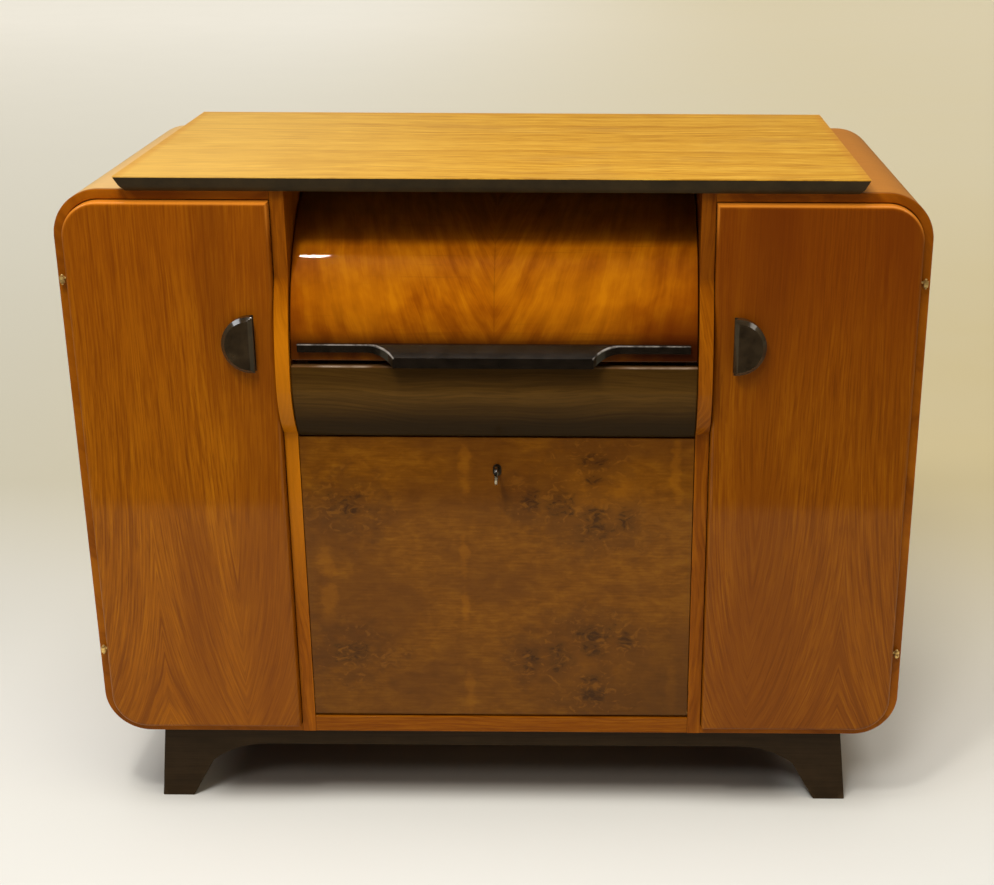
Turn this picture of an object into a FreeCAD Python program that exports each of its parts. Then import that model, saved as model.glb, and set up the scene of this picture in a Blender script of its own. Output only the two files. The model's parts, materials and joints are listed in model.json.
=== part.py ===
import FreeCAD
import Part
import math
import os

Vector = FreeCAD.Vector

# Carcase: two round-cornered cupboards beside a middle bay. All sizes are in millimetres.
carcase_width = 1100.0
carcase_height = 764.0
carcase_depth = 480.0
shell_wall = 12.0
corner_radius = 60.0
bay_width = 519.0
partition_thickness = 18.0
back_thickness = 5.0
back_inset = 5.0
panel_clearance = 0.3

# Plinth: four boards with scooped feet, flared towards the floor
plinth_height = 118.0
plinth_thickness = 22.0
plinth_front_setback = 19.0
plinth_rear_setback = 10.0
plinth_end_inset = 73.5
plinth_flare = 12.5
foot_width = 44.5
foot_slant = 32.5
foot_shoulder_height = 58.0
arch_height = 85.0
arch_sweep = 77.0
corner_block_size = 40.0
corner_block_height = 60.0

# Top plate: a veneered core, a thin facing over all of it, and undercut edging strips
plate_thickness = 20.0
plate_end_inset = 85.5
plate_overhang = 18.0
facing_thickness = 1.5
edging_width = 16.0
edging_upper_height = 11.0
edging_upper_inset = 5.0
edging_lower_inset = 6.0

# Doors: set inside the shells, standing proud of them
door_thickness = 20.0
door_proud = 15.0
door_gap = 1.0
door_edge_round = 4.0

# Half-moon pulls
pull_length = 74.0
pull_width = 41.0
pull_thickness = 15.0
pull_bevel = 5.0
pull_edge_distance = 25.5
pull_drop = 193.0
pull_groove_radius = 4.4
pull_screw_spacing = 40.0

# Door hinges: an eye on the door turns on a pin held by an eye on the shell
hinge_pin_inset = 7.0
hinge_pin_forward = 6.0
hinge_pin_radius = 1.5
hinge_eye_radius = 3.5
hinge_eye_height = 3.6
hinge_eye_gap = 0.3
hinge_ball_radius = 1.9
hinge_shank_radius = 1.4
hinge_shank_depth = 20.0
upper_hinge_drop = 113.5
lower_hinge_rise = 129.0
running_clearance = 0.05
fit_clearance = 0.03

# Door catches: a spring ball in the door edge, a strike on the cheek
catch_radius = 3.5
catch_length = 14.0
catch_ball_proud = 0.6
strike_width = 9.0
strike_length = 26.0
strike_thickness = 1.2
strike_hole_radius = 2.5

# Shelves and their pins
shelf_thickness = 16.0
shelf_rise = 350.0
shelf_front_inset = 10.0
shelf_clearance = 0.4
shelf_pin_radius = 3.0
shelf_pin_depth = 9.0
shelf_pin_reach = 10.0
shelf_pin_inset = 65.0

# Middle bay: bottom rail, floor, record dividers, fall flap and deck
rail_height = 24.0
rail_depth = 60.0
floor_thickness = 18.0
flap_thickness = 18.0
flap_gap = 1.0
flap_side_gap = 1.0
flap_top_gap = 2.0
flap_pivot_inset = 6.0
flap_floor_gap = 2.5
deck_thickness = 18.0
divider_count = 3
divider_thickness = 6.0
divider_head_room = 69.0
divider_front_inset = 50.0
divider_groove = 5.0
flap_leaf_thickness = 2.5
flap_leaf_width = 12.0
flap_leaf_edge = 4.0
flap_leaf_length = 60.0
flap_pin_radius = 2.5

# Cylinder lid over the deck
lid_radius = 208.0
lid_head_room = 16.0
lid_front_bulge = 23.0
lid_thickness = 10.0
lid_side_gap = 1.5
lid_lower_angle = 3.0
lid_upper_angle = 80.0
lid_end_thickness = 12.0
lid_hub_radius = 24.0
lid_shut_gap = 6.0
pivot_radius = 5.0
bush_wall = 3.0
bush_length = 14.0
stop_length = 40.0
stop_height = 18.0
stop_gap = 0.5
stop_from_axis = 120.0

# Lid handle: a thin bar that sweeps out to a deeper lip in the middle
handle_end_gap = 9.0
handle_bar_height = 10.5
handle_bar_rise = 12.5
handle_bar_projection = 4.0
handle_lip_projection = 23.0
handle_lip_length = 252.0
handle_sweep = 37.0
handle_lip_height = 13.5
handle_lip_drop = 11.5
handle_screw_middle = 90.0
handle_screw_end = 34.0

# Apron and cheeks that frame the lid
apron_height = 103.4
apron_bulge = 28.0
apron_ledge_height = 20.0
apron_thickness = 14.0
apron_lip = 5.0
apron_edge_round = 2.5
cheek_bulge = 32.0
cheek_drop = 20.0
cheek_upper_length = 135.0
cheek_bottom_gap = 3.0

# Lock, bolt and key on the flap
keyhole_drop = 45.0
lock_width = 60.0
lock_depth = 14.0
lock_below_key = 20.0
lock_top_inset = 1.0
bolt_width = 20.0
bolt_thickness = 5.4
bolt_length = 35.0
bolt_travel = 9.0
bolt_clearance = 0.3
lock_strike_thickness = 1.5
lock_strike_margin = 9.0
key_shank_radius = 2.4
key_hole_clearance = 0.4
key_bit_length = 6.5
key_bit_thickness = 2.4
key_bow_height = 24.0
key_bow_length = 20.0
key_bow_thickness = 3.0
key_bow_wall = 4.5
key_reach = 14.0
escutcheon_width = 11.0
escutcheon_height = 17.0
escutcheon_thickness = 1.2

# Screws
small_screw_radius = 2.0
small_head_radius = 4.0
small_head_height = 2.5
pull_screw_grip = 8.0
handle_screw_grip = 4.0
lock_screw_length = 12.0
lock_screw_inset = 6.0
large_screw_radius = 1.9
large_head_radius = 4.0
large_head_height = 3.0
plate_screw_grip = 12.0
plate_screw_inset = 60.0
plinth_screw_grip = 40.0

# Places worked out from the sizes above: y is 0 at the carcase front, z is 0 at the floor
half_width = carcase_width / 2
carcase_bottom = plinth_height
carcase_top = plinth_height + carcase_height
bay_half = bay_width / 2
partition_outer = bay_half + partition_thickness
shell_inner = half_width - shell_wall
cupboard_bottom = carcase_bottom + shell_wall
cupboard_top = carcase_top - shell_wall
inner_radius = corner_radius - shell_wall
back_rear = carcase_depth - back_inset
back_front = back_rear - back_thickness
plate_top = carcase_top + plate_thickness
plate_half = half_width - plate_end_inset
plate_width = 2 * plate_half
plinth_top_half = half_width - plinth_end_inset
plinth_floor_half = plinth_top_half + plinth_flare
plinth_rear_front = carcase_depth - plinth_rear_setback - plinth_thickness
shelf_height = cupboard_bottom + shelf_rise

door_inner_edge = partition_outer + door_gap
door_outer_edge = shell_inner - door_gap
door_bottom = cupboard_bottom + door_gap
door_top = cupboard_top - door_gap
door_back = door_thickness - door_proud
hinge_x = half_width - hinge_pin_inset
hinge_heights = (carcase_bottom + lower_hinge_rise, carcase_top - upper_hinge_drop)
pull_inner_edge = door_inner_edge + pull_edge_distance
pull_centre_height = carcase_top - pull_drop

lid_axis_y = lid_radius - lid_front_bulge
lid_axis_z = carcase_top - lid_head_room - lid_radius
lid_half = bay_half - lid_side_gap
lid_end_inner = lid_half - lid_end_thickness
lid_inner_radius = lid_radius - lid_thickness
lid_lower_edge = lid_axis_z + lid_inner_radius * math.sin(math.radians(lid_lower_angle))
handle_half = lid_half - handle_end_gap
bar_front = -lid_front_bulge - handle_bar_projection
lip_front = -lid_front_bulge - handle_lip_projection
bar_bottom = lid_lower_edge + handle_bar_rise
bar_top = bar_bottom + handle_bar_height
lip_top = bar_top - handle_lip_drop
lip_bottom = lip_top - handle_lip_height
apron_top = lid_lower_edge - lid_shut_gap

rail_top = carcase_bottom + rail_height
deck_bottom = apron_top - apron_height
deck_top = deck_bottom + deck_thickness
flap_bottom = rail_top + flap_gap
flap_top = deck_bottom - flap_top_gap
flap_half = bay_half - flap_side_gap
flap_pivot_y = flap_pivot_inset
flap_pivot_z = flap_bottom + flap_pivot_inset
floor_front = flap_thickness + flap_floor_gap
floor_top = rail_top + floor_thickness
divider_top = deck_bottom - divider_head_room

cheek_middle = lid_axis_z - cheek_drop
cheek_bottom = deck_bottom + cheek_bottom_gap
catch_height = cheek_middle
catch_y = -door_proud + door_thickness / 2

keyhole_z = flap_top - keyhole_drop
lock_top = flap_top - lock_top_inset
lock_bottom = keyhole_z - lock_below_key
lock_back = flap_thickness + lock_depth
bolt_y = flap_thickness + lock_depth / 2
bolt_top = lock_top

# The origin is on the floor, midway between the handle's lip and the carcase's rear edge
frame_shift = Vector(0, -(lip_front + carcase_depth) / 2, 0)

# Groups of solids are collected here, one entry for each named piece
pieces = {}


def span_box(x_span, y_span, z_span):
    size = (x_span[1] - x_span[0], y_span[1] - y_span[0], z_span[1] - z_span[0])
    return Part.makeBox(*size, Vector(x_span[0], y_span[0], z_span[0]))


def rod(radius, start, direction, length):
    return Part.makeCylinder(radius, length, Vector(*start), Vector(*direction))


def line(start, end):
    return Part.LineSegment(start, end).toShape()


def arc(start, middle, end):
    return Part.Arc(start, middle, end).toShape()


def solid_from(edges, travel):
    return Part.Face(Part.Wire(edges)).extrude(travel)


def polygon_solid(points, travel):
    return Part.Face(Part.makePolygon(points + [points[0]])).extrude(travel)


def mirrored(shape):
    return shape.mirror(Vector(0, 0, 0), Vector(1, 0, 0))


def both_sides(shape):
    return [shape, mirrored(shape)]


def cut_all(shape, tools):
    for tool in tools:
        shape = shape.cut(tool)
    return shape


def tangent_radius(run, rise):
    return (run ** 2 + rise ** 2) / (2 * rise)


# A round-ended block: square at its inner edge, rounded at both outer corners
def rounded_block(x_span, y_span, z_span, radius):
    inner, outer = x_span
    low, high = z_span
    front = y_span[0]
    bend = radius * math.sqrt(0.5)

    def at(x, z):
        return Vector(x, front, z)

    turn_x = outer - radius
    turn_low = low + radius
    turn_high = high - radius
    edges = [
        line(at(inner, low), at(turn_x, low)),
        arc(at(turn_x, low), at(turn_x + bend, turn_low - bend), at(outer, turn_low)),
        line(at(outer, turn_low), at(outer, turn_high)),
        arc(at(outer, turn_high), at(turn_x + bend, turn_high + bend), at(turn_x, high)),
        line(at(turn_x, high), at(inner, high)),
        line(at(inner, high), at(inner, low)),
    ]
    return solid_from(edges, Vector(0, y_span[1] - front, 0))


# A small countersunk screw: start is the flat of its head, grow adds clearance for its hole
def small_screw(start, direction, length, grow=0.0):
    radius = small_screw_radius + grow
    head_radius = small_head_radius + grow
    shank = rod(radius, start, direction, length + grow)
    head = Part.makeCone(head_radius, radius, small_head_height, Vector(*start), Vector(*direction))
    return shank.fuse(head).removeSplitter()


# A round-headed screw: start is the seat of its head, which stands out behind it
def round_head_screw(start, direction, length, radius, head_radius, head_height):
    back = [start[i] - direction[i] * head_height for i in range(3)]
    head = rod(head_radius, back, direction, head_height)
    return head.fuse(rod(radius, start, direction, length)).removeSplitter()


def large_screw(start, direction, length):
    sizes = (large_screw_radius, large_head_radius, large_head_height)
    return round_head_screw(start, direction, length, *sizes)


def large_screw_hole(start, direction, length):
    return rod(large_screw_radius + fit_clearance, start, direction, length)


def pull_screws():
    middle = pull_inner_edge + pull_width / 2
    length = door_thickness + pull_screw_grip
    heights = (pull_centre_height - pull_screw_spacing / 2, pull_centre_height + pull_screw_spacing / 2)
    return [((middle, door_back, height), (0, -1, 0), length) for height in heights]


def plate_screw_places():
    middle = (partition_outer + plate_half) / 2
    depths = (plate_screw_inset, carcase_depth - plate_screw_inset)
    return [(middle, depth) for depth in depths]


def plinth_block_centres():
    front = plinth_front_setback + plinth_thickness + corner_block_size / 2
    rear = plinth_rear_front - corner_block_size / 2
    side = plinth_top_half - plinth_thickness - corner_block_size / 2
    return [(side, front), (side, rear)]


def shelf_pin_places():
    depths = (shelf_front_inset + shelf_pin_inset, back_front - shelf_pin_inset)
    height = shelf_height - shelf_pin_radius - fit_clearance
    return [(depth, height) for depth in depths]


def shelf_pin(depth, height, wall_x, inward, grow=0.0):
    start = (wall_x - inward * (shelf_pin_depth + grow), depth, height)
    return rod(shelf_pin_radius + grow, start, (inward, 0, 0), shelf_pin_depth + shelf_pin_reach + grow)


def shelf_pins(grow=0.0):
    pins = []
    for depth, height in shelf_pin_places():
        pins.append(shelf_pin(depth, height, partition_outer, 1, grow))
        pins.append(shelf_pin(depth, height, shell_inner, -1, grow))
    return pins


# Each hinge has its lower eye on the shell and its upper eye on the door
def hinge_shell_shank(height, grow=0.0):
    middle = height - hinge_eye_gap / 2 - hinge_eye_height / 2
    reach = hinge_pin_forward + hinge_shank_depth + grow
    return rod(hinge_shank_radius + grow, (hinge_x, -hinge_pin_forward, middle), (0, 1, 0), reach)


def hinge_door_shank(height, grow=0.0):
    middle = height + hinge_eye_gap / 2 + hinge_eye_height / 2
    reach = hinge_x - door_outer_edge + hinge_shank_depth + grow
    return rod(hinge_shank_radius + grow, (hinge_x, -hinge_pin_forward, middle), (-1, 0, 0), reach)


def hinge_eye(bottom, shank, pin_clearance):
    base = (hinge_x, -hinge_pin_forward, bottom)
    eye = rod(hinge_eye_radius, base, (0, 0, 1), hinge_eye_height).fuse(shank).removeSplitter()
    return eye.cut(rod(hinge_pin_radius + pin_clearance, base, (0, 0, 1), hinge_eye_height))


def hinge_shell_arm(height):
    bottom = height - hinge_eye_gap / 2 - hinge_eye_height
    return hinge_eye(bottom, hinge_shell_shank(height), fit_clearance)


def hinge_door_arm(height):
    return hinge_eye(height + hinge_eye_gap / 2, hinge_door_shank(height), running_clearance)


def hinge_pin(height):
    half = hinge_eye_height + hinge_eye_gap
    pin = rod(hinge_pin_radius, (hinge_x, -hinge_pin_forward, height - half), (0, 0, 1), 2 * half)
    drop = math.sqrt(hinge_ball_radius ** 2 - hinge_pin_radius ** 2)
    for end in (height - half - drop, height + half + drop):
        ball = Part.makeSphere(hinge_ball_radius, Vector(hinge_x, -hinge_pin_forward, end))
        pin = pin.fuse(ball)
    return pin.removeSplitter()


# The ball catch lies along x in the door's free edge, and its dome looks at the cheek
def catch_barrel(grow=0.0):
    start = (door_inner_edge, catch_y, catch_height)
    return rod(catch_radius + grow, start, (1, 0, 0), catch_length + grow)


def door_catch():
    ball_radius = strike_hole_radius
    centre = Vector(door_inner_edge - catch_ball_proud + ball_radius, catch_y, catch_height)
    return catch_barrel().fuse(Part.makeSphere(ball_radius, centre)).removeSplitter()


def catch_strike(grow=0.0):
    half = strike_length / 2 + grow
    y_span = (catch_y - strike_width / 2 - grow, catch_y + strike_width / 2 + grow)
    x_span = (partition_outer - strike_thickness, partition_outer)
    return span_box(x_span, y_span, (catch_height - half, catch_height + half))


def drilled_strike():
    start = (partition_outer - strike_thickness, catch_y, catch_height)
    return catch_strike().cut(rod(strike_hole_radius, start, (1, 0, 0), strike_thickness))


# Bent shell of one cupboard, open towards its partition
def right_shell():
    y_span = (0, carcase_depth)
    outside_x = (partition_outer, half_width)
    whole = rounded_block(outside_x, y_span, (carcase_bottom, carcase_top), corner_radius)
    inside_x = (partition_outer - shell_wall, shell_inner)
    hollow = rounded_block(inside_x, y_span, (cupboard_bottom, cupboard_top), inner_radius)
    holes = [hinge_shell_shank(height, fit_clearance) for height in hinge_heights]
    holes += shelf_pins(fit_clearance)
    for x, y in plate_screw_places():
        holes.append(large_screw_hole((x, y, cupboard_top), (0, 0, 1), shell_wall))
    for x, y in plinth_block_centres():
        holes.append(large_screw_hole((x, y, carcase_bottom), (0, 0, 1), shell_wall))
    return cut_all(whole.cut(hollow), holes)


# Front edge of a partition: straight, with a cheek made of two arcs that meet at its foremost line
def cheek_arc(sign, length):
    radius = tangent_radius(length, cheek_bulge)
    sweep = math.asin(length / radius)
    points = []
    for share in (0.0, 0.5, 1.0):
        y = -cheek_bulge + radius * (1 - math.cos(share * sweep))
        points.append(Vector(bay_half, y, cheek_middle + sign * radius * math.sin(share * sweep)))
    return points


def right_partition():
    upper = cheek_arc(1, cheek_upper_length)
    lower = cheek_arc(-1, cheek_middle - cheek_bottom)

    def at(y, z):
        return Vector(bay_half, y, z)

    edges = [
        line(at(0, carcase_bottom), lower[2]),
        arc(lower[2], lower[1], lower[0]),
        arc(upper[0], upper[1], upper[2]),
        line(upper[2], at(0, carcase_top)),
        line(at(0, carcase_top), at(carcase_depth, carcase_top)),
        line(at(carcase_depth, carcase_top), at(carcase_depth, carcase_bottom)),
        line(at(carcase_depth, carcase_bottom), at(0, carcase_bottom)),
    ]
    board = solid_from(edges, Vector(partition_thickness, 0, 0))
    bush_start = (bay_half, lid_axis_y, lid_axis_z)
    bush_hole = rod(pivot_radius + bush_wall + fit_clearance, bush_start, (1, 0, 0), bush_length)
    holes = [bush_hole, catch_strike(fit_clearance), flap_plate_blank(fit_clearance)]
    return cut_all(board, holes + shelf_pins(fit_clearance))


def right_back():
    gap = panel_clearance
    x_span = (partition_outer + gap, shell_inner - gap)
    z_span = (cupboard_bottom + gap, cupboard_top - gap)
    return rounded_block(x_span, (back_front, back_rear), z_span, inner_radius - gap)


def right_shelf():
    x_span = (partition_outer + shelf_clearance, shell_inner - shelf_clearance)
    z_span = (shelf_height, shelf_height + shelf_thickness)
    return span_box(x_span, (shelf_front_inset, back_front - shelf_clearance), z_span)


def right_door():
    x_span = (door_inner_edge, door_outer_edge)
    y_span = (-door_proud, door_back)
    panel = rounded_block(x_span, y_span, (door_bottom, door_top), inner_radius - door_gap)
    rim = [edge for edge in panel.Edges if edge.BoundBox.YMax < -door_proud + fit_clearance]
    panel = panel.makeFillet(door_edge_round, rim)
    holes = [hinge_door_shank(height, fit_clearance) for height in hinge_heights]
    holes.append(catch_barrel(fit_clearance))
    holes += [small_screw(*screw, grow=fit_clearance) for screw in pull_screws()]
    return cut_all(panel, holes)


# Half-moon pull: a bevelled disc cut straight towards the door's free edge, with a finger groove there
def right_pull():
    half = pull_length / 2
    centre_x = pull_inner_edge + pull_width - half
    base = (centre_x, -door_proud, pull_centre_height)
    rim = -door_proud - pull_thickness + pull_bevel
    front = rim - pull_bevel
    disc = rod(half, base, (0, -1, 0), pull_thickness - pull_bevel)
    bevel_base = Vector(centre_x, rim, pull_centre_height)
    bevel = Part.makeCone(half, half - pull_bevel, pull_bevel, bevel_base, Vector(0, -1, 0))
    disc = disc.fuse(bevel).removeSplitter()
    low = pull_centre_height - half
    waste = span_box((centre_x - half, pull_inner_edge), (front, -door_proud), (low, low + pull_length))
    corners = [(pull_inner_edge, front), (pull_inner_edge + pull_bevel, front), (pull_inner_edge, rim)]
    straight_bevel = polygon_solid([Vector(x, y, low) for x, y in corners], Vector(0, 0, pull_length))
    groove_y = -door_proud - pull_groove_radius
    groove = rod(pull_groove_radius, (pull_inner_edge, groove_y, low), (0, 0, 1), pull_length)
    holes = [small_screw(*screw, grow=fit_clearance) for screw in pull_screws()]
    return cut_all(disc, [waste, straight_bevel, groove] + holes)


# Scoop between two feet, as an outline of run against height, for a board of the given half length
def arch_outline(half_run, point):
    inner_foot = half_run - foot_width
    shoulder = inner_foot - foot_slant
    crown = shoulder - arch_sweep
    radius = tangent_radius(arch_sweep, arch_height - foot_shoulder_height)
    half_sweep = math.asin(arch_sweep / radius) / 2
    bend = (crown + radius * math.sin(half_sweep), arch_height - radius * (1 - math.cos(half_sweep)))
    return [
        line(point(-inner_foot, 0), point(-shoulder, foot_shoulder_height)),
        arc(point(-shoulder, foot_shoulder_height), point(-bend[0], bend[1]), point(-crown, arch_height)),
        line(point(-crown, arch_height), point(crown, arch_height)),
        arc(point(crown, arch_height), point(*bend), point(shoulder, foot_shoulder_height)),
        line(point(shoulder, foot_shoulder_height), point(inner_foot, 0)),
        line(point(inner_foot, 0), point(-inner_foot, 0)),
    ]


def plinth_cross_board(front):
    def at(x, z):
        return Vector(x, front, z)

    travel = Vector(0, plinth_thickness, 0)
    corners = [
        at(-plinth_floor_half, 0),
        at(plinth_floor_half, 0),
        at(plinth_top_half, plinth_height),
        at(-plinth_top_half, plinth_height),
    ]
    scoop = solid_from(arch_outline(plinth_floor_half, at), travel)
    return polygon_solid(corners, travel).cut(scoop)


def plinth_side_board():
    front = plinth_front_setback + plinth_thickness
    rear = plinth_rear_front
    inner_x = plinth_top_half - plinth_thickness
    middle = (front + rear) / 2
    half_run = (rear - front) / 2 + plinth_thickness
    corners = [
        Vector(plinth_floor_half - plinth_thickness, front, 0),
        Vector(plinth_floor_half, front, 0),
        Vector(plinth_top_half, front, plinth_height),
        Vector(inner_x, front, plinth_height),
    ]
    board = polygon_solid(corners, Vector(0, rear - front, 0))

    def at(run, z):
        return Vector(inner_x, middle + run, z)

    scoop = solid_from(arch_outline(half_run, at), Vector(plinth_thickness + plinth_flare, 0, 0))
    return board.cut(scoop)


def plinth_screw(x, y):
    return large_screw((x, y, cupboard_bottom), (0, 0, -1), plinth_screw_grip)


def plinth_corner_block(x, y):
    half = corner_block_size / 2
    z_span = (plinth_height - corner_block_height, plinth_height)
    block = span_box((x - half, x + half), (y - half, y + half), z_span)
    hole_length = plinth_screw_grip + fit_clearance
    return block.cut(large_screw_hole((x, y, cupboard_bottom), (0, 0, -1), hole_length))


# Undercut outline of the top plate below its facing, open at the rear
def undercut_plate():
    front = -plate_overhang
    top = plate_top - facing_thickness
    knee = top - edging_upper_height
    inset = edging_upper_inset + edging_lower_inset
    plate = span_box((-plate_half, plate_half), (front, carcase_depth), (carcase_top, top))
    profile = [(0, top), (0, carcase_top), (inset, carcase_top), (edging_upper_inset, knee)]
    front_points = [Vector(-plate_half, front + run, z) for run, z in profile]
    front_waste = polygon_solid(front_points, Vector(plate_width, 0, 0))
    side_points = [Vector(plate_half - run, front, z) for run, z in profile]
    side_waste = polygon_solid(side_points, Vector(0, carcase_depth - front, 0))
    return cut_all(plate, [front_waste] + both_sides(side_waste))


def plate_core_box():
    core_half = plate_half - edging_width
    z_span = (carcase_top, plate_top - facing_thickness)
    return span_box((-core_half, core_half), (edging_width - plate_overhang, carcase_depth), z_span)


def top_plate():
    z_span = (plate_top - facing_thickness, plate_top)
    facing = span_box((-plate_half, plate_half), (-plate_overhang, carcase_depth), z_span)
    plate = plate_core_box().fuse(facing).removeSplitter()
    holes = []
    for x, y in plate_screw_places():
        hole = large_screw_hole((x, y, carcase_top), (0, 0, 1), plate_screw_grip + fit_clearance)
        holes += both_sides(hole)
    return cut_all(plate, holes)


def edging_strip(x_span, y_span):
    strip = undercut_plate().cut(plate_core_box())
    return strip.common(span_box(x_span, y_span, (carcase_top, plate_top)))


def middle_back():
    x_span = (panel_clearance - bay_half, bay_half - panel_clearance)
    return span_box(x_span, (back_front, back_rear), (carcase_bottom, carcase_top))


def divider_places():
    step = bay_width / (divider_count + 1)
    return [step * (index + 1) - bay_half for index in range(divider_count)]


def divider(middle, grow=0.0):
    half = divider_thickness / 2 + grow
    y_span = (divider_front_inset, back_front - panel_clearance + grow)
    return span_box((middle - half, middle + half), y_span, (floor_top - divider_groove, divider_top))


def bay_floor():
    board = span_box((-bay_half, bay_half), (floor_front, back_front), (rail_top, floor_top))
    return cut_all(board, [divider(middle, fit_clearance) for middle in divider_places()])


def bottom_rail():
    return span_box((-bay_half, bay_half), (0, rail_depth), (carcase_bottom, rail_top))


def deck_box():
    return span_box((-bay_half, bay_half), (apron_lip, back_front), (deck_bottom, deck_top))


def deck():
    pocket_half = bolt_width / 2 + 2 * bolt_clearance
    pocket_depth = bolt_thickness / 2 + 2 * bolt_clearance
    pocket_top = deck_bottom + bolt_travel + flap_top_gap
    y_span = (bolt_y - pocket_depth, bolt_y + pocket_depth)
    pocket = span_box((-pocket_half, pocket_half), y_span, (deck_bottom, pocket_top))
    return cut_all(deck_box(), [pocket, lock_strike_blank(fit_clearance)])


# Curved apron under the lid: its bottom edge laps over the front of the deck
def apron():
    foremost = apron_top - apron_ledge_height
    radius = tangent_radius(foremost - deck_bottom, apron_bulge)
    centre = radius - apron_bulge
    start = Vector(-bay_half, centre, foremost)
    outer = Part.makeCylinder(radius, bay_width, start, Vector(1, 0, 0))
    inner = Part.makeCylinder(radius - apron_thickness, bay_width, start, Vector(1, 0, 0))
    window = span_box((-bay_half, bay_half), (centre - 2 * radius, centre), (deck_bottom, apron_top))
    board = outer.cut(inner).common(window).cut(deck_box())
    front_edge = centre - math.sqrt(radius ** 2 - apron_ledge_height ** 2)
    rim = []
    for edge in board.Edges:
        box = edge.BoundBox
        if box.ZMin > apron_top - fit_clearance and box.YMax < front_edge + fit_clearance:
            rim.append(edge)
    return board.makeFillet(apron_edge_round, rim)


# A point at a radius and an angle above the front of the lid's axis
def on_lid(x, radius, angle):
    turn = math.radians(angle)
    return Vector(x, lid_axis_y - radius * math.cos(turn), lid_axis_z + radius * math.sin(turn))


def lid_arc(x, radius):
    middle = (lid_lower_angle + lid_upper_angle) / 2
    angles = (lid_lower_angle, middle, lid_upper_angle)
    return arc(*[on_lid(x, radius, angle) for angle in angles])


# The straight end of the lid's section at one angle, between two radii
def lid_edge(x, radii, angle):
    return line(on_lid(x, radii[0], angle), on_lid(x, radii[1], angle))


def lid_panel():
    radii = (lid_inner_radius, lid_radius)
    edges = [
        lid_arc(-lid_half, lid_radius),
        lid_edge(-lid_half, radii, lid_upper_angle),
        lid_arc(-lid_half, lid_inner_radius),
        lid_edge(-lid_half, radii, lid_lower_angle),
    ]
    panel = solid_from(Part.sortEdges(edges)[0], Vector(2 * lid_half, 0, 0))
    return cut_all(panel, handle_screw_holes())


# Sector board that closes one end of the lid and carries its pivot
def lid_end():
    radii = (0, lid_inner_radius)
    edges = [
        lid_arc(lid_end_inner, lid_inner_radius),
        lid_edge(lid_end_inner, radii, lid_upper_angle),
        lid_edge(lid_end_inner, radii, lid_lower_angle),
    ]
    sector = solid_from(Part.sortEdges(edges)[0], Vector(lid_end_thickness, 0, 0))
    axis_start = (lid_end_inner, lid_axis_y, lid_axis_z)
    hub = rod(lid_hub_radius, axis_start, (1, 0, 0), lid_end_thickness)
    hole = rod(pivot_radius + fit_clearance, axis_start, (1, 0, 0), lid_end_thickness)
    return sector.fuse(hub).removeSplitter().cut(hole)


def lid_pivot():
    length = lid_end_thickness + lid_side_gap + bush_length
    return rod(pivot_radius, (lid_end_inner, lid_axis_y, lid_axis_z), (1, 0, 0), length)


def lid_bush():
    start = (bay_half, lid_axis_y, lid_axis_z)
    sleeve = rod(pivot_radius + bush_wall, start, (1, 0, 0), bush_length)
    return sleeve.cut(rod(pivot_radius + running_clearance, start, (1, 0, 0), bush_length))


def lid_stop():
    top = lid_axis_z + stop_from_axis * math.sin(math.radians(lid_lower_angle)) - stop_gap
    front = lid_axis_y - stop_from_axis - stop_length
    return span_box((lid_end_inner, bay_half), (front, front + stop_length), (top - stop_height, top))


# The handle's plan sweeps from a thin bar to a lip, and its section falls as it comes forward
def lid_handle():
    half = handle_half
    lip_half = handle_lip_length / 2
    sweep_start = lip_half + handle_sweep
    reach = bar_front - lip_front
    radius = tangent_radius(handle_sweep, reach)
    half_turn = math.asin(handle_sweep / radius) / 2
    bend_x = sweep_start - radius * math.sin(half_turn)
    bend_y = bar_front - radius * (1 - math.cos(half_turn))

    def at(x, y):
        return Vector(x, y, lip_bottom)

    plan = [
        line(at(-half, 0), at(-half, bar_front)),
        line(at(-half, bar_front), at(-sweep_start, bar_front)),
        arc(at(-sweep_start, bar_front), at(-bend_x, bend_y), at(-lip_half, lip_front)),
        line(at(-lip_half, lip_front), at(lip_half, lip_front)),
        arc(at(lip_half, lip_front), at(bend_x, bend_y), at(sweep_start, bar_front)),
        line(at(sweep_start, bar_front), at(half, bar_front)),
        line(at(half, bar_front), at(half, 0)),
        line(at(half, 0), at(-half, 0)),
    ]
    section = [
        Vector(-half, 0, bar_top),
        Vector(-half, bar_front, bar_top),
        Vector(-half, lip_front, lip_top),
        Vector(-half, lip_front, lip_bottom),
        Vector(-half, bar_front, bar_bottom),
        Vector(-half, 0, bar_bottom),
    ]
    swept = polygon_solid(section, Vector(2 * half, 0, 0))
    bar = solid_from(plan, Vector(0, 0, bar_top - lip_bottom)).common(swept)
    lid_round = rod(lid_radius + fit_clearance, (-bay_half, lid_axis_y, lid_axis_z), (1, 0, 0), bay_width)
    return cut_all(bar, [lid_round] + handle_screw_holes())


# Where the handle's screws go: the seat of each head inside the lid, and the length from there
def handle_screw_places():
    height = (bar_top + bar_bottom) / 2
    rise = height - lid_axis_z
    seat = lid_axis_y - math.sqrt(lid_inner_radius ** 2 - (rise + small_head_radius) ** 2) + fit_clearance
    face = lid_axis_y - math.sqrt(lid_radius ** 2 - rise ** 2)
    length = seat - face + handle_screw_grip
    distances = (handle_screw_middle, handle_half - handle_screw_end)
    xs = [sign * distance for distance in distances for sign in (-1, 1)]
    return [((x, seat, height), (0, -1, 0), length) for x in xs]


def handle_screw_holes():
    radius = small_screw_radius + fit_clearance
    holes = []
    for start, direction, length in handle_screw_places():
        holes.append(rod(radius, start, direction, length + fit_clearance))
    return holes


def handle_screw(start, direction, length):
    sizes = (small_screw_radius, small_head_radius, small_head_height)
    return round_head_screw(start, direction, length, *sizes)


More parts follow.
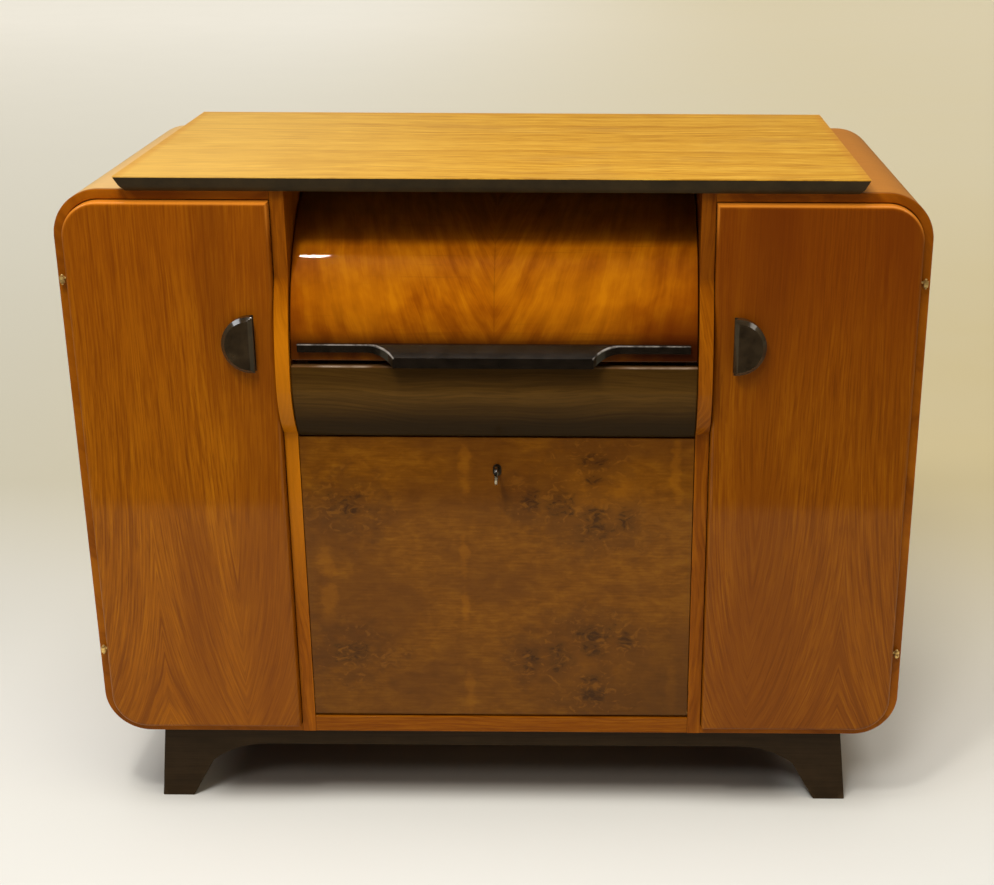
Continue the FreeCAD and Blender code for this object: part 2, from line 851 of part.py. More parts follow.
# Fall flap, rounded about its pivot so that its lower edge clears the rail
def flap_panel():
    panel = span_box((-flap_half, flap_half), (0, flap_thickness), (flap_bottom, flap_top))
    corner = [edge for edge in panel.Edges
              if edge.BoundBox.YMax < fit_clearance and edge.BoundBox.ZMax < flap_bottom + fit_clearance]
    panel = panel.makeFillet(flap_pivot_inset, corner)
    keyway = rod(key_shank_radius + key_hole_clearance, (0, 0, keyhole_z), (0, 1, 0), flap_thickness)
    holes = [keyway] + both_sides(flap_leaf_blank(fit_clearance))
    holes += [small_screw(*screw, grow=fit_clearance) for screw in lock_screws()]
    return cut_all(panel, holes)


def flap_leaf_span():
    front = flap_pivot_y - flap_leaf_edge
    low = flap_pivot_z - flap_leaf_edge
    return (front, front + flap_leaf_width), (low, low + flap_leaf_length)


def flap_leaf_blank(grow=0.0):
    y_span, z_span = flap_leaf_span()
    y_span = (y_span[0] - grow, y_span[1] + grow)
    z_span = (z_span[0] - grow, z_span[1] + grow)
    return span_box((flap_half - flap_leaf_thickness - grow, flap_half), y_span, z_span)


def flap_leaf():
    start = (flap_half - flap_leaf_thickness, flap_pivot_y, flap_pivot_z)
    eye = rod(flap_pin_radius + running_clearance, start, (1, 0, 0), flap_leaf_thickness)
    return flap_leaf_blank().cut(eye)


def flap_plate_blank(grow=0.0):
    y_span, z_span = flap_leaf_span()
    y_span = (y_span[0] - grow, y_span[1] + grow)
    z_span = (z_span[0] - grow, z_span[1] + grow)
    return span_box((bay_half, bay_half + flap_leaf_thickness + grow), y_span, z_span)


def flap_pivot_plate():
    length = 2 * flap_leaf_thickness + flap_side_gap
    start = (bay_half + flap_leaf_thickness, flap_pivot_y, flap_pivot_z)
    return flap_plate_blank().fuse(rod(flap_pin_radius, start, (-1, 0, 0), length)).removeSplitter()


# Lock case on the flap's inner face, with a channel for the bolt and a round room for the key's bit
def lock_screws():
    side = lock_width / 2 - lock_screw_inset
    heights = (lock_bottom + lock_screw_inset, lock_top - lock_screw_inset)
    length = lock_depth + lock_screw_length
    return [((x, lock_back, z), (0, -1, 0), length) for x in (-side, side) for z in heights]


def bolt_channel_span():
    half = bolt_thickness / 2 + bolt_clearance
    return bolt_y - half, bolt_y + half


def lock_case():
    half = lock_width / 2
    case = span_box((-half, half), (flap_thickness, lock_back), (lock_bottom, lock_top))
    channel_half = bolt_width / 2 + bolt_clearance
    channel = span_box((-channel_half, channel_half), bolt_channel_span(), (keyhole_z, lock_top))
    low, high = bolt_channel_span()
    bit_room = rod(key_bit_length + key_hole_clearance, (0, low, keyhole_z), (0, 1, 0), high - low)
    key_entry = (0, flap_thickness, keyhole_z)
    keyway = rod(key_shank_radius + key_hole_clearance, key_entry, (0, 1, 0), low - flap_thickness)
    holes = [small_screw(*screw, grow=fit_clearance) for screw in lock_screws()]
    return cut_all(case, [channel, bit_room, keyway] + holes)


def lock_bolt():
    half = bolt_width / 2
    y_span = (bolt_y - bolt_thickness / 2, bolt_y + bolt_thickness / 2)
    return span_box((-half, half), y_span, (bolt_top - bolt_length, bolt_top))


def lock_strike_blank(grow=0.0):
    half = bolt_width / 2 + lock_strike_margin + grow
    reach = bolt_thickness / 2 + lock_strike_margin + grow
    z_span = (deck_bottom, deck_bottom + lock_strike_thickness + grow)
    return span_box((-half, half), (bolt_y - reach, bolt_y + reach), z_span)


def lock_strike():
    half = bolt_width / 2 + bolt_clearance
    z_span = (deck_bottom, deck_bottom + lock_strike_thickness)
    return lock_strike_blank().cut(span_box((-half, half), bolt_channel_span(), z_span))


# An oval standing on its end, with its thickness along x or y
def oval(centre, width_way, width, height, travel):
    def at(run, rise):
        return centre + width_way * run + Vector(0, 0, rise)

    radius = width / 2
    straight = height / 2 - radius
    edges = [
        arc(at(-radius, straight), at(0, height / 2), at(radius, straight)),
        line(at(radius, straight), at(radius, -straight)),
        arc(at(radius, -straight), at(0, -height / 2), at(-radius, -straight)),
        line(at(-radius, -straight), at(-radius, straight)),
    ]
    return solid_from(edges, travel)


def escutcheon():
    travel = Vector(0, -escutcheon_thickness, 0)
    plate = oval(Vector(0, 0, keyhole_z), Vector(1, 0, 0), escutcheon_width, escutcheon_height, travel)
    hole = rod(key_shank_radius + key_hole_clearance, (0, 0, keyhole_z), (0, -1, 0), escutcheon_thickness)
    return plate.cut(hole)


def key():
    low, high = bolt_channel_span()
    bit_span = (low + bolt_clearance, high - bolt_clearance)
    shank = rod(key_shank_radius, (0, -key_reach, keyhole_z), (0, 1, 0), key_reach + bit_span[1])
    half = key_bit_thickness / 2
    bit = span_box((-half, half), bit_span, (keyhole_z - key_bit_length, keyhole_z))
    centre = Vector(-key_bow_thickness / 2, -key_reach - key_bow_length / 2 + key_bow_wall / 2, keyhole_z)
    travel = Vector(key_bow_thickness, 0, 0)
    way = Vector(0, 1, 0)
    bow = oval(centre, way, key_bow_length, key_bow_height, travel)
    ring = oval(centre, way, key_bow_length - 2 * key_bow_wall, key_bow_height - 2 * key_bow_wall, travel)
    return shank.fuse([bit, bow]).removeSplitter().cut(ring)


def plate_screw(x, y):
    return large_screw((x, y, cupboard_top), (0, 0, 1), shell_wall + plate_screw_grip)


def add(name, *solids):
    pieces[name] = list(solids)


# One piece made of solids that repeat on both sides
def add_both(name, solids):
    add(name, *[side for solid in solids for side in both_sides(solid)])


# Pieces that have a right and a left form
def add_pair(name, *solids):
    add("right_" + name, *solids)
    add("left_" + name, *[mirrored(solid) for solid in solids])


def add_carcase():
    add_pair("shell", right_shell())
    add_pair("partition", right_partition())
    add_pair("back", right_back())
    add_pair("shelf", right_shelf())
    add_pair("catch_strike", drilled_strike())
    add_both("shelf_pins", shelf_pins())
    add("middle_back", middle_back())
    add("bay_floor", bay_floor())
    add("bottom_rail", bottom_rail())
    add("deck", deck())
    add("apron", apron())
    for number, middle in enumerate(divider_places()):
        add("record_divider_%d" % (number + 1), divider(middle))
    add_both("hinge_shell_arms", [hinge_shell_arm(height) for height in hinge_heights])
    add_both("hinge_pins", [hinge_pin(height) for height in hinge_heights])
    add_both("lid_bushes", [lid_bush()])
    add_both("lid_stops", [lid_stop()])
    add_both("flap_pivot_plates", [flap_pivot_plate()])
    add("lock_strike", lock_strike())


def add_top():
    split = edging_width - plate_overhang
    add("top_plate", top_plate())
    add("front_edging", edging_strip((-plate_half, plate_half), (-plate_overhang, split)))
    add("right_edging", edging_strip((0, plate_half), (split, carcase_depth)))
    add("left_edging", edging_strip((-plate_half, 0), (split, carcase_depth)))
    add_both("top_screws", [plate_screw(x, y) for x, y in plate_screw_places()])


def add_plinth():
    centres = plinth_block_centres()
    add("plinth_front", plinth_cross_board(plinth_front_setback))
    add("plinth_rear", plinth_cross_board(plinth_rear_front))
    add_pair("plinth_side", plinth_side_board())
    add_both("plinth_blocks", [plinth_corner_block(x, y) for x, y in centres])
    add_both("plinth_screws", [plinth_screw(x, y) for x, y in centres])


def add_doors():
    add_pair("door", right_door())
    add_pair("pull", right_pull())
    add_pair("pull_screws", *[small_screw(*screw) for screw in pull_screws()])
    add_pair("hinge_door_arms", *[hinge_door_arm(height) for height in hinge_heights])
    add_pair("door_catch", door_catch())


def add_lid():
    add("lid_panel", lid_panel())
    add_pair("lid_end", lid_end())
    add_both("lid_pivots", [lid_pivot()])
    add("lid_handle", lid_handle())
    add("handle_screws", *[handle_screw(*place) for place in handle_screw_places()])


def add_flap():
    add("flap_panel", flap_panel())
    add_both("flap_leaves", [flap_leaf()])
    add("lock_case", lock_case())
    add("lock_screws", *[small_screw(*screw) for screw in lock_screws()])
    add("escutcheon", escutcheon())
    add("key", key())
    add("lock_bolt", lock_bolt())


def write_pieces():
    os.makedirs("parts", exist_ok=True)
    for name, solids in pieces.items():
        shape = solids[0] if len(solids) == 1 else Part.makeCompound(solids)
        shape = shape.translated(frame_shift)
        print(name, len(shape.Solids), "solids, valid", shape.isValid(), round(shape.Volume))
        shape.exportStep("parts/%s.step" % name)


add_carcase()
add_top()
add_plinth()
add_doors()
add_lid()
add_flap()
write_pieces()
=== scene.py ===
# %% [markdown]
# # A record cabinet in polished walnut
# This lesson dresses a imported CAD model of a record cabinet. The CAD gives every board its true
# size and place, so Blender only has to give each surface the look of the real piece of furniture:
# book-matched walnut veneer, gloss black lacquer, dark stain and a little brass.
# The frame is loaded first and never moved.

# %% Load the imported frame
import json
import math

import bmesh
import bpy
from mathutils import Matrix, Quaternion, Vector

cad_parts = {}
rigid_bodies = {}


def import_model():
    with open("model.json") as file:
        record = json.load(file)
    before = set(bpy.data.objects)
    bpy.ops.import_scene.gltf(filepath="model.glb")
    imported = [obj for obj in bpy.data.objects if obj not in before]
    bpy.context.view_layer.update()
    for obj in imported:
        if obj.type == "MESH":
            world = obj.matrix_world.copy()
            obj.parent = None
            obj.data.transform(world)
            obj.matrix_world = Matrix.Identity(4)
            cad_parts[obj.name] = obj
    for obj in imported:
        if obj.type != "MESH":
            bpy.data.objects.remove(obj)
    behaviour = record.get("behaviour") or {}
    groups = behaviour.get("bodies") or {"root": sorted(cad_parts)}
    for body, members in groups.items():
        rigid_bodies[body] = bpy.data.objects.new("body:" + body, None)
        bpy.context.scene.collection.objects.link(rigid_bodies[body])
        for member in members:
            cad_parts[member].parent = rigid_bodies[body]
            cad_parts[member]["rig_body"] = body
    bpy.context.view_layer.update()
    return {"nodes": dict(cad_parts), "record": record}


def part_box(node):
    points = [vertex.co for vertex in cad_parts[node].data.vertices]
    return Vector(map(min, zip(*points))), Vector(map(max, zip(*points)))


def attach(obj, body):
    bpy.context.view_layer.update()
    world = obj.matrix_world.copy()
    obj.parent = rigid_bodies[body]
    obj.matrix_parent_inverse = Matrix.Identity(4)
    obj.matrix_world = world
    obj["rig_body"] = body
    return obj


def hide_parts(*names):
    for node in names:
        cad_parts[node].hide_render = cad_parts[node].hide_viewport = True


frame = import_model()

nodes = frame["nodes"]

# %% [markdown]
# ## Working like at the bench
# An operator acts on everything that is selected, so each step starts by clearing the selection.
# `add_block` puts a cube exactly between two corners, and `pick` selects edges or faces of the
# piece in edit mode by a test on their place or direction. With these two, a board is made as by
# hand: add a block, pick an edge, bevel it.


# %% Helpers for modelling
def only(piece):
    if bpy.context.mode != "OBJECT":
        bpy.ops.object.mode_set(mode="OBJECT")
    bpy.ops.object.select_all(action="DESELECT")
    piece.select_set(True)
    bpy.context.view_layer.objects.active = piece


def add_block(name, low, high):
    low, high = Vector(low), Vector(high)
    bpy.ops.object.select_all(action="DESELECT")
    bpy.ops.mesh.primitive_cube_add(size=1, location=(low + high) / 2)
    piece = bpy.context.object
    piece.name = name
    bpy.ops.transform.resize(value=high - low)
    bpy.ops.object.transform_apply(location=True, rotation=True, scale=True)
    return piece


def pick(piece, kind, test):
    bpy.ops.mesh.select_mode(type=kind)
    bpy.ops.mesh.select_all(action="DESELECT")
    shape = bmesh.from_edit_mesh(piece.data)
    for element in shape.edges if kind == "EDGE" else shape.faces:
        element.select_set(test(element))
    bmesh.update_edit_mesh(piece.data)


def edge_middle(edge):
    return (edge.verts[0].co + edge.verts[1].co) / 2


def runs_along(edge, axis):
    way = edge.verts[1].co - edge.verts[0].co
    return abs(way[axis]) > 0.999 * way.length


def near(value, target, reach=0.0002):
    return abs(value - target) < reach


# %% [markdown]
# ## Softened edges
# No real board has a razor edge: sanding and lacquer leave a small round that catches the light,
# and that thin bright line is most of what tells the eye that a thing is real. A Bevel modifier
# limited by angle finds all such edges by itself, so it is used for every piece, with a width that
# suits the piece. `finish_shape` adds it, applies it and calls `shade`, which smooths the shading
# up to a fixed angle and lets the large faces rule the normals, so that flat boards stay flat.


# %% Helpers for finishing a shape
edge_angle = math.radians(32)
smooth_angle = math.radians(35)
weld_reach = 0.000002


def apply_modifier(piece, kind, **settings):
    modifier = piece.modifiers.new(kind.title(), kind)
    for name, value in settings.items():
        setattr(modifier, name, value)
    only(piece)
    bpy.ops.object.modifier_apply(modifier=modifier.name)


def shade(piece):
    only(piece)
    bpy.ops.mesh.customdata_custom_splitnormals_clear()
    bpy.ops.object.shade_smooth_by_angle(angle=smooth_angle)
    apply_modifier(piece, "WEIGHTED_NORMAL", mode="FACE_AREA", weight=100, keep_sharp=True)


def finish_shape(piece, softness, segments=3):
    apply_modifier(piece, "BEVEL", width=softness, segments=segments, limit_method="ANGLE",
                   angle_limit=edge_angle, use_clamp_overlap=True)
    shade(piece)


def clean_mesh(piece):
    only(piece)
    bpy.ops.object.mode_set(mode="EDIT")
    bpy.ops.mesh.select_all(action="SELECT")
    bpy.ops.mesh.remove_doubles(threshold=weld_reach)
    bpy.ops.mesh.normals_make_consistent(inside=False)
    bpy.ops.object.mode_set(mode="OBJECT")


def mirrored_copy(piece, name):
    only(piece)
    bpy.ops.object.duplicate()
    copy = bpy.context.object
    copy.name = name
    copy.scale.x = -1
    bpy.ops.object.transform_apply(location=True, rotation=True, scale=True)
    clean_mesh(copy)
    shade(copy)
    return copy


# %% [markdown]
# ## A softened copy of a CAD board
# Many boards already have their final outline in the CAD. For these the CAD mesh is copied, its
# loose triangles are merged, flat triangles are dissolved back into whole faces, and the edges are
# softened. The copy then stands for the CAD node, which stays hidden for the collisions.


# %% Copy, replace and ride
cad_weld_reach = 0.000005
flat_angle = math.radians(0.5)


def stand_for(piece, material, slot, *names):
    piece.data.materials.clear()
    piece.data.materials.append(material)
    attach(piece, nodes[names[0]]["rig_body"])
    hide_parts(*names)
    return piece


def softened(name, softness):
    copy = bpy.data.objects.new(name + "_finished", nodes[name].data.copy())
    bpy.context.scene.collection.objects.link(copy)
    only(copy)
    bpy.ops.object.mode_set(mode="EDIT")
    bpy.ops.mesh.select_all(action="SELECT")
    bpy.ops.mesh.remove_doubles(threshold=cad_weld_reach)
    bpy.ops.mesh.dissolve_limited(angle_limit=flat_angle, use_dissolve_boundaries=False)
    bpy.ops.object.mode_set(mode="OBJECT")
    finish_shape(copy, softness)
    return copy


# %% [markdown]
# ## Maths on sockets
# A material is a small program made of nodes. Written as plain node calls it is hard to read, so
# one class wraps a socket and lets Python's own operators add the Math nodes. `1 - mask` then
# reads as it does on paper. Anything that isn't simple maths goes through the one method `node`.


# %% The Wire class
class Wire:
    def __init__(self, tree, socket=None):
        self.tree = tree
        self.socket = socket

    def node(self, kind, settings=None, sockets=None, output=0):
        made = self.tree.nodes.new(kind)
        for name, value in (settings or {}).items():
            if name == "stops":
                made.color_ramp.elements.remove(made.color_ramp.elements[1])
                made.color_ramp.elements[0].position = value[0][0]
                made.color_ramp.elements[0].color = value[0][1]
                for place, colour in value[1:]:
                    made.color_ramp.elements.new(place).color = colour
            else:
                setattr(made, name, value)
        for key, value in (sockets or {}).items():
            if isinstance(value, Wire):
                self.tree.links.new(value.socket, made.inputs[key])
            else:
                made.inputs[key].default_value = value
        return Wire(self.tree, made.outputs[output])

    def maths(self, operation, *others):
        return self.node("ShaderNodeMath", {"operation": operation}, dict(enumerate((self,) + others)))

    def __add__(self, other):
        return self.maths("ADD", other)

    def __sub__(self, other):
        return self.maths("SUBTRACT", other)

    def __mul__(self, other):
        return self.maths("MULTIPLY", other)

    def __rsub__(self, other):
        return self.node("ShaderNodeMath", {"operation": "SUBTRACT"}, {0: other, 1: self})

    __radd__ = __add__
    __rmul__ = __mul__

    def size(self):
        return self.maths("ABSOLUTE")

    def fade(self, low, high):
        return self.node("ShaderNodeMapRange", {"interpolation_type": "SMOOTHSTEP"},
                         {"Value": self, "From Min": low, "From Max": high})

    def mix(self, first, second):
        return self.node("ShaderNodeMix", {"data_type": "RGBA"}, {0: self, 6: first, 7: second}, output=2)

    def times(self, other):
        return self.node("ShaderNodeVectorMath", {"operation": "MULTIPLY"}, {0: self, 1: other})

    def tones(self, *stops):
        return self.node("ShaderNodeValToRGB", {"stops": stops}, {0: self})

    def stretched(self, *factors):
        return self.times(factors)

    def noise(self, detail=2.0, roughness=0.5, distortion=0.0):
        return self.node("ShaderNodeTexNoise", {"noise_dimensions": "3D"},
                         {"Vector": self, "Scale": 1.0, "Detail": detail, "Roughness": roughness,
                          "Distortion": distortion})

    def lines(self, detail=2.0, roughness=0.5):
        return self.node("ShaderNodeTexNoise", {"noise_dimensions": "1D"},
                         {"W": self, "Scale": 1.0, "Detail": detail, "Roughness": roughness})

    def parts(self):
        split = self.node("ShaderNodeSeparateXYZ", None, {0: self}).socket.node
        return [Wire(self.tree, output) for output in split.outputs]


# %% [markdown]
# ## Colours as a painter reads them
# Colours are written as they look on a screen, from 0 to 255, and turned into the linear values
# that the renderer works with. `new_surface` opens a material, and `set_surface` links what varies
# (colour, roughness, bump) and sets what is constant on the shader's own sockets.


# %% Helpers for materials
def tone(red, green, blue):
    linear = []
    for value in (red / 255, green / 255, blue / 255):
        linear.append(value / 12.92 if value <= 0.04045 else ((value + 0.055) / 1.055) ** 2.4)
    return (*linear, 1.0)


def new_surface(name):
    material = bpy.data.materials.new(name)
    material.use_nodes = True
    start = Wire(material.node_tree)
    here = start.node("ShaderNodeTexCoord", output="Object")
    return material, here


def set_surface(material, colour, roughness, height=None, bump=0.2, depth=0.0004, **constants):
    tree = material.node_tree
    shader = tree.nodes["Principled BSDF"]
    for name, value in {"Base Color": colour, "Roughness": roughness}.items():
        if isinstance(value, Wire):
            tree.links.new(value.socket, shader.inputs[name])
        else:
            shader.inputs[name].default_value = value
    if height is not None:
        relief = height.node("ShaderNodeBump", None,
                             {"Height": height, "Strength": bump, "Distance": depth})
        tree.links.new(relief.socket, shader.inputs["Normal"])
    for name, value in constants.items():
        shader.inputs[name.replace("_", " ").title().replace("Ior", "IOR")].default_value = value
    print("material:", material.name, len(tree.nodes), "nodes")
    return material


# %% [markdown]
# ## What walnut looks like
# Walnut veneer has three layers of pattern. Growth rings give lines that run with the grain and
# bend into flames where the saw met the heart of the tree. Broad soft bands make some strips
# darker. Fine pores lie along the grain as short dark dashes. `across` is the distance across the
# grain in metres, already bent where the figure bends, and `along` is the distance with it. The
# two make a flat map of the wood, so the fibres follow every bend of the rings. The scales are
# about as many lines as come to a metre. `shares` says how much of each layer goes into the tone,
# `spread` how soft their contrast is, and `vein_scale` how close the dark veins lie.


# %% Walnut from rings, fibres and pores
broad_rings = 36.0
fine_rings = 230.0
fibre_grain = (460.0, 12.0, 1.0)
pore_grain = (760.0, 26.0, 1.0)
vein_breaks = (60.0, 5.0, 1.0)
grain_bump = 0.10
grain_depth = 0.0003


def walnut(across, along, apart, dark, middle, light, shares=(0.28, 0.22, 0.50), spread=0.12,
           vein_scale=120.0):
    flow = across.node("ShaderNodeCombineXYZ", None, {0: across, 1: along, 2: apart})
    broad = (across * broad_rings).lines(2.0, 0.5)
    fine = (across * fine_rings).lines(3.0, 0.6)
    fibres = flow.stretched(*fibre_grain).noise(5.0, 0.62)
    mixed = broad * shares[0] + fine * shares[1] + fibres * shares[2]
    colour = mixed.tones((0.5 - spread, dark), (0.5, middle), (0.5 + spread, light))
    veins = (across * vein_scale).lines(2.0, 0.5).fade(0.60, 0.70)
    broken = flow.stretched(*vein_breaks).noise(2.0, 0.5).fade(0.40, 0.60)
    pores = flow.stretched(*pore_grain).noise(2.0, 0.55).fade(0.55, 0.69)
    colour = (veins * broken * 0.70).mix(colour, dark)
    colour = (pores * 0.60).mix(colour, dark)
    height = fibres * 0.4 - pores * 0.8
    return colour, height


# %% [markdown]
# ## Door veneer
# The doors are veneered with straight-grained walnut whose foot comes from the crown of the log,
# so the lines stay upright above and close into pointed flames near the bottom edge. Both doors
# are cut from the same flitch and mirrored, which is why the distance from the middle, and not
# the plain x, places the flames. A zigzag across the door gives the ridges of the flames, and a
# term that grows towards the bottom tilts the lines until they meet at those ridges. Towards the
# top the wood is redder. The right door is painted darker, a painted shade for light that comes
# from the left. The rounded front rim is painted paler as a painted highlight, most of all along
# the top, where the light from above falls on it.


# %% Material: door walnut
def door_walnut(front):
    material, here = new_surface("door_walnut")
    x, y, z = here.parts()
    sway = here.stretched(5.0, 1.0, 0.8).noise(2.0, 0.5)
    wander = here.stretched(30.0, 1.0, 6.0).noise(3.0, 0.55)
    ridge = 0.347
    ridge_spacing = 0.114
    flame_height = 0.131
    flame_growth = 6.5
    flame_reach = 0.078
    bent = x.size() + (sway - 0.5) * 0.04
    zigzag = (bent - ridge).maths("PINGPONG", ridge_spacing)
    foot = ((flame_height - z) * flame_growth).maths("EXPONENT")
    across = zigzag + foot * flame_reach + wander * 0.007
    colour, height = walnut(across, z, x * 9.0, tone(110, 55, 0), tone(140, 76, 1), tone(160, 94, 4),
                            (0.22, 0.10, 0.68), 0.135, 90.0)
    cloud = here.stretched(9.0, 1.0, 1.6).noise(3.0, 0.5)
    colour = (cloud.fade(0.42, 0.62) * 0.50).mix(colour, tone(112, 55, 1))
    head = z.fade(0.50, 0.86)
    colour = (head * 0.40).mix(colour, tone(126, 57, 1))
    strip_middle = 0.352
    dark_strip = (bent - strip_middle).size().fade(0.040, 0.004) * z.fade(0.52, 0.74)
    colour = (dark_strip * 0.40).mix(colour, tone(92, 39, 1))
    # painted shade: the right door is painted darker, for light that comes from the left
    painted_leaf_shade = x.fade(-0.1, 0.3)
    colour = (painted_leaf_shade * 0.30).mix(colour, tone(88, 38, 0))
    red_head = x.fade(0.0, 0.3) * z.fade(0.58, 0.84)
    colour = (red_head * 0.40).mix(colour, tone(96, 34, 0))
    # painted highlight: the rounded front rim is painted paler, most of all along the top
    painted_rim_highlight = y.fade(front + 0.0003, front + 0.0020) * y.fade(front + 0.0170, front + 0.0140)
    wear_and_highlight = painted_rim_highlight * (z.fade(0.81, 0.865) * 0.50 + 0.05)
    colour = wear_and_highlight.mix(colour, tone(232, 142, 44))
    return set_surface(material, colour, 0.42, height, grain_bump, grain_depth,
                       specular_ior_level=0.05, coat_weight=0.28, coat_roughness=0.045)


door_finish = door_walnut(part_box("right_door")[0].y)

# %% [markdown]
# ## Carcase veneer
# Shells, partitions and the bottom rail carry a plainer, warmer walnut. On the shells the grain
# follows the bend from the bottom over the side to the top, so the lines are told apart by the
# depth of the cabinet, and the upper face is painted paler, most on the left, as painted light
# from above. On the upright partitions the width tells the lines apart. The bottom rail lies
# level, with its grain along x.


# %% Materials: shell, partition and rail walnut
def polished_walnut(material, colour, height):
    return set_surface(material, colour, 0.40, height, grain_bump, grain_depth,
                       specular_ior_level=0.05, coat_weight=0.12, coat_roughness=0.06)


def shell_walnut(front, top):
    material, here = new_surface("shell_walnut")
    x, y, z = here.parts()
    sway = here.stretched(2.0, 5.0, 2.0).noise(3.0, 0.55)
    across = y * 0.6 + sway * 0.045
    colour, height = walnut(across, x + z, x * 3.0, tone(116, 57, 1), tone(140, 74, 2), tone(158, 89, 5))
    # painted light: the upper face is painted paler, most on the left, where the light from above falls
    upper = z.fade(top - 0.085, top + 0.010) * y.fade(front + 0.003, front + 0.010)
    painted_light = x.fade(-0.1, 0.1).mix(tone(226, 190, 128), tone(184, 122, 54))
    colour = (upper * 0.75).mix(colour, painted_light)
    return polished_walnut(material, colour, height)


def partition_walnut():
    material, here = new_surface("partition_walnut")
    x, y, z = here.parts()
    sway = here.stretched(6.0, 6.0, 2.0).noise(3.0, 0.55)
    across = (x + y) * 0.5 + sway * 0.05
    colour, height = walnut(across, z, x * 3.0, tone(110, 53, 0), tone(140, 74, 2), tone(162, 92, 5))
    inner = x.size().fade(0.35, 0.28)
    # painted light: the left cheek is painted lighter, as if lit from the left
    painted_cheek_light = inner * x.fade(0.0, -0.2) * z.fade(0.25, 0.50) * z.fade(0.78, 0.68)
    colour = (painted_cheek_light * 0.6).mix(colour, tone(194, 116, 8))
    # painted shade: the right cheek is painted darker, and both cheeks above the lid, under the top
    painted_cheek_shade = inner * x.fade(0.0, 0.2) + inner * z.fade(0.72, 0.80)
    colour = (painted_cheek_shade * 0.25).mix(colour, tone(90, 40, 2))
    return polished_walnut(material, colour, height)


def rail_walnut():
    material, here = new_surface("rail_walnut")
    x, y, z = here.parts()
    sway = here.stretched(3.0, 6.0, 6.0).noise(3.0, 0.55)
    across = z * 0.8 + y * 0.4 + sway * 0.03
    colour, height = walnut(across, x, y, tone(102, 48, 1), tone(123, 64, 2), tone(141, 79, 5))
    return polished_walnut(material, colour, height)


shell_low, shell_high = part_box("right_shell")
shell_finish = shell_walnut(shell_low.y, shell_high.z)
partition_finish = partition_walnut()
rail_finish = rail_walnut()

# %% [markdown]
# ## Patches at chosen places
# Noise alone puts nothing where it is wanted. `smudge` makes a mask round one chosen place, with a
# rim that is torn by noise so that it never looks stamped. `strongest` joins many masks into one.


# %% Placed patches
def smudge(here, x, level, place, size, flatten, grain=(46.0, 10.0, 70.0), tearing=2.0):
    torn = here.stretched(*grain).noise(3.0, 0.6)
    wide = ((x - place[0]) * flatten).maths("POWER", 2.0)
    tall = (level - place[1]).maths("POWER", 2.0)
    reach = (wide + tall).maths("SQRT") + (torn - 0.5) * size * tearing
    return reach.fade(size, size * 0.25)


def strongest(masks):
    result = masks[0]
    for mask in masks[1:]:
        result = result.maths("MAXIMUM", mask)
    return result


# %% [markdown]
# ## Top veneer
# The top is a paler, golden sheet with the grain along the width, painted paler still on the left
# as a painted sheen. Use has dulled it in patches and browned a narrow border along its back and
# its ends. It is what the light from above meets first, and seen at a low angle it also mirrors
# the pale room, so its coat is thin.


# %% Material: top walnut
def top_walnut(end, back):
    material, here = new_surface("top_walnut")
    x, y, z = here.parts()
    sway = here.stretched(2.0, 5.0, 1.0).noise(2.0, 0.5)
    wander = here.stretched(7.0, 30.0, 1.0).noise(3.0, 0.55)
    across = y * 0.8 + sway * 0.07 + wander * 0.006
    colour, height = walnut(across, x, z, tone(164, 108, 22), tone(202, 147, 42),
                            tone(224, 174, 66), (0.24, 0.16, 0.60))
    # painted sheen: the left part of the top is painted paler
    painted_light = x.fade(0.1, -0.45)
    colour = (painted_light * 0.45).mix(colour, tone(226, 188, 108))
    rubbed = here.stretched(6.0, 12.0, 1.0).noise(3.0, 0.6)
    colour = (rubbed.fade(0.52, 0.68) * 0.30).mix(colour, tone(178, 130, 56))
    border = strongest([y.fade(back - 0.020, back - 0.004), x.size().fade(end - 0.016, end - 0.003)])
    colour = (border * 0.35).mix(colour, tone(184, 116, 36))
    return set_surface(material, colour, 0.40, height, grain_bump, grain_depth,
                       specular_ior_level=0.12, coat_weight=0.22, coat_roughness=0.20)


top_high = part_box("top_plate")[1]
top_finish = top_walnut(top_high.x, top_high.y)
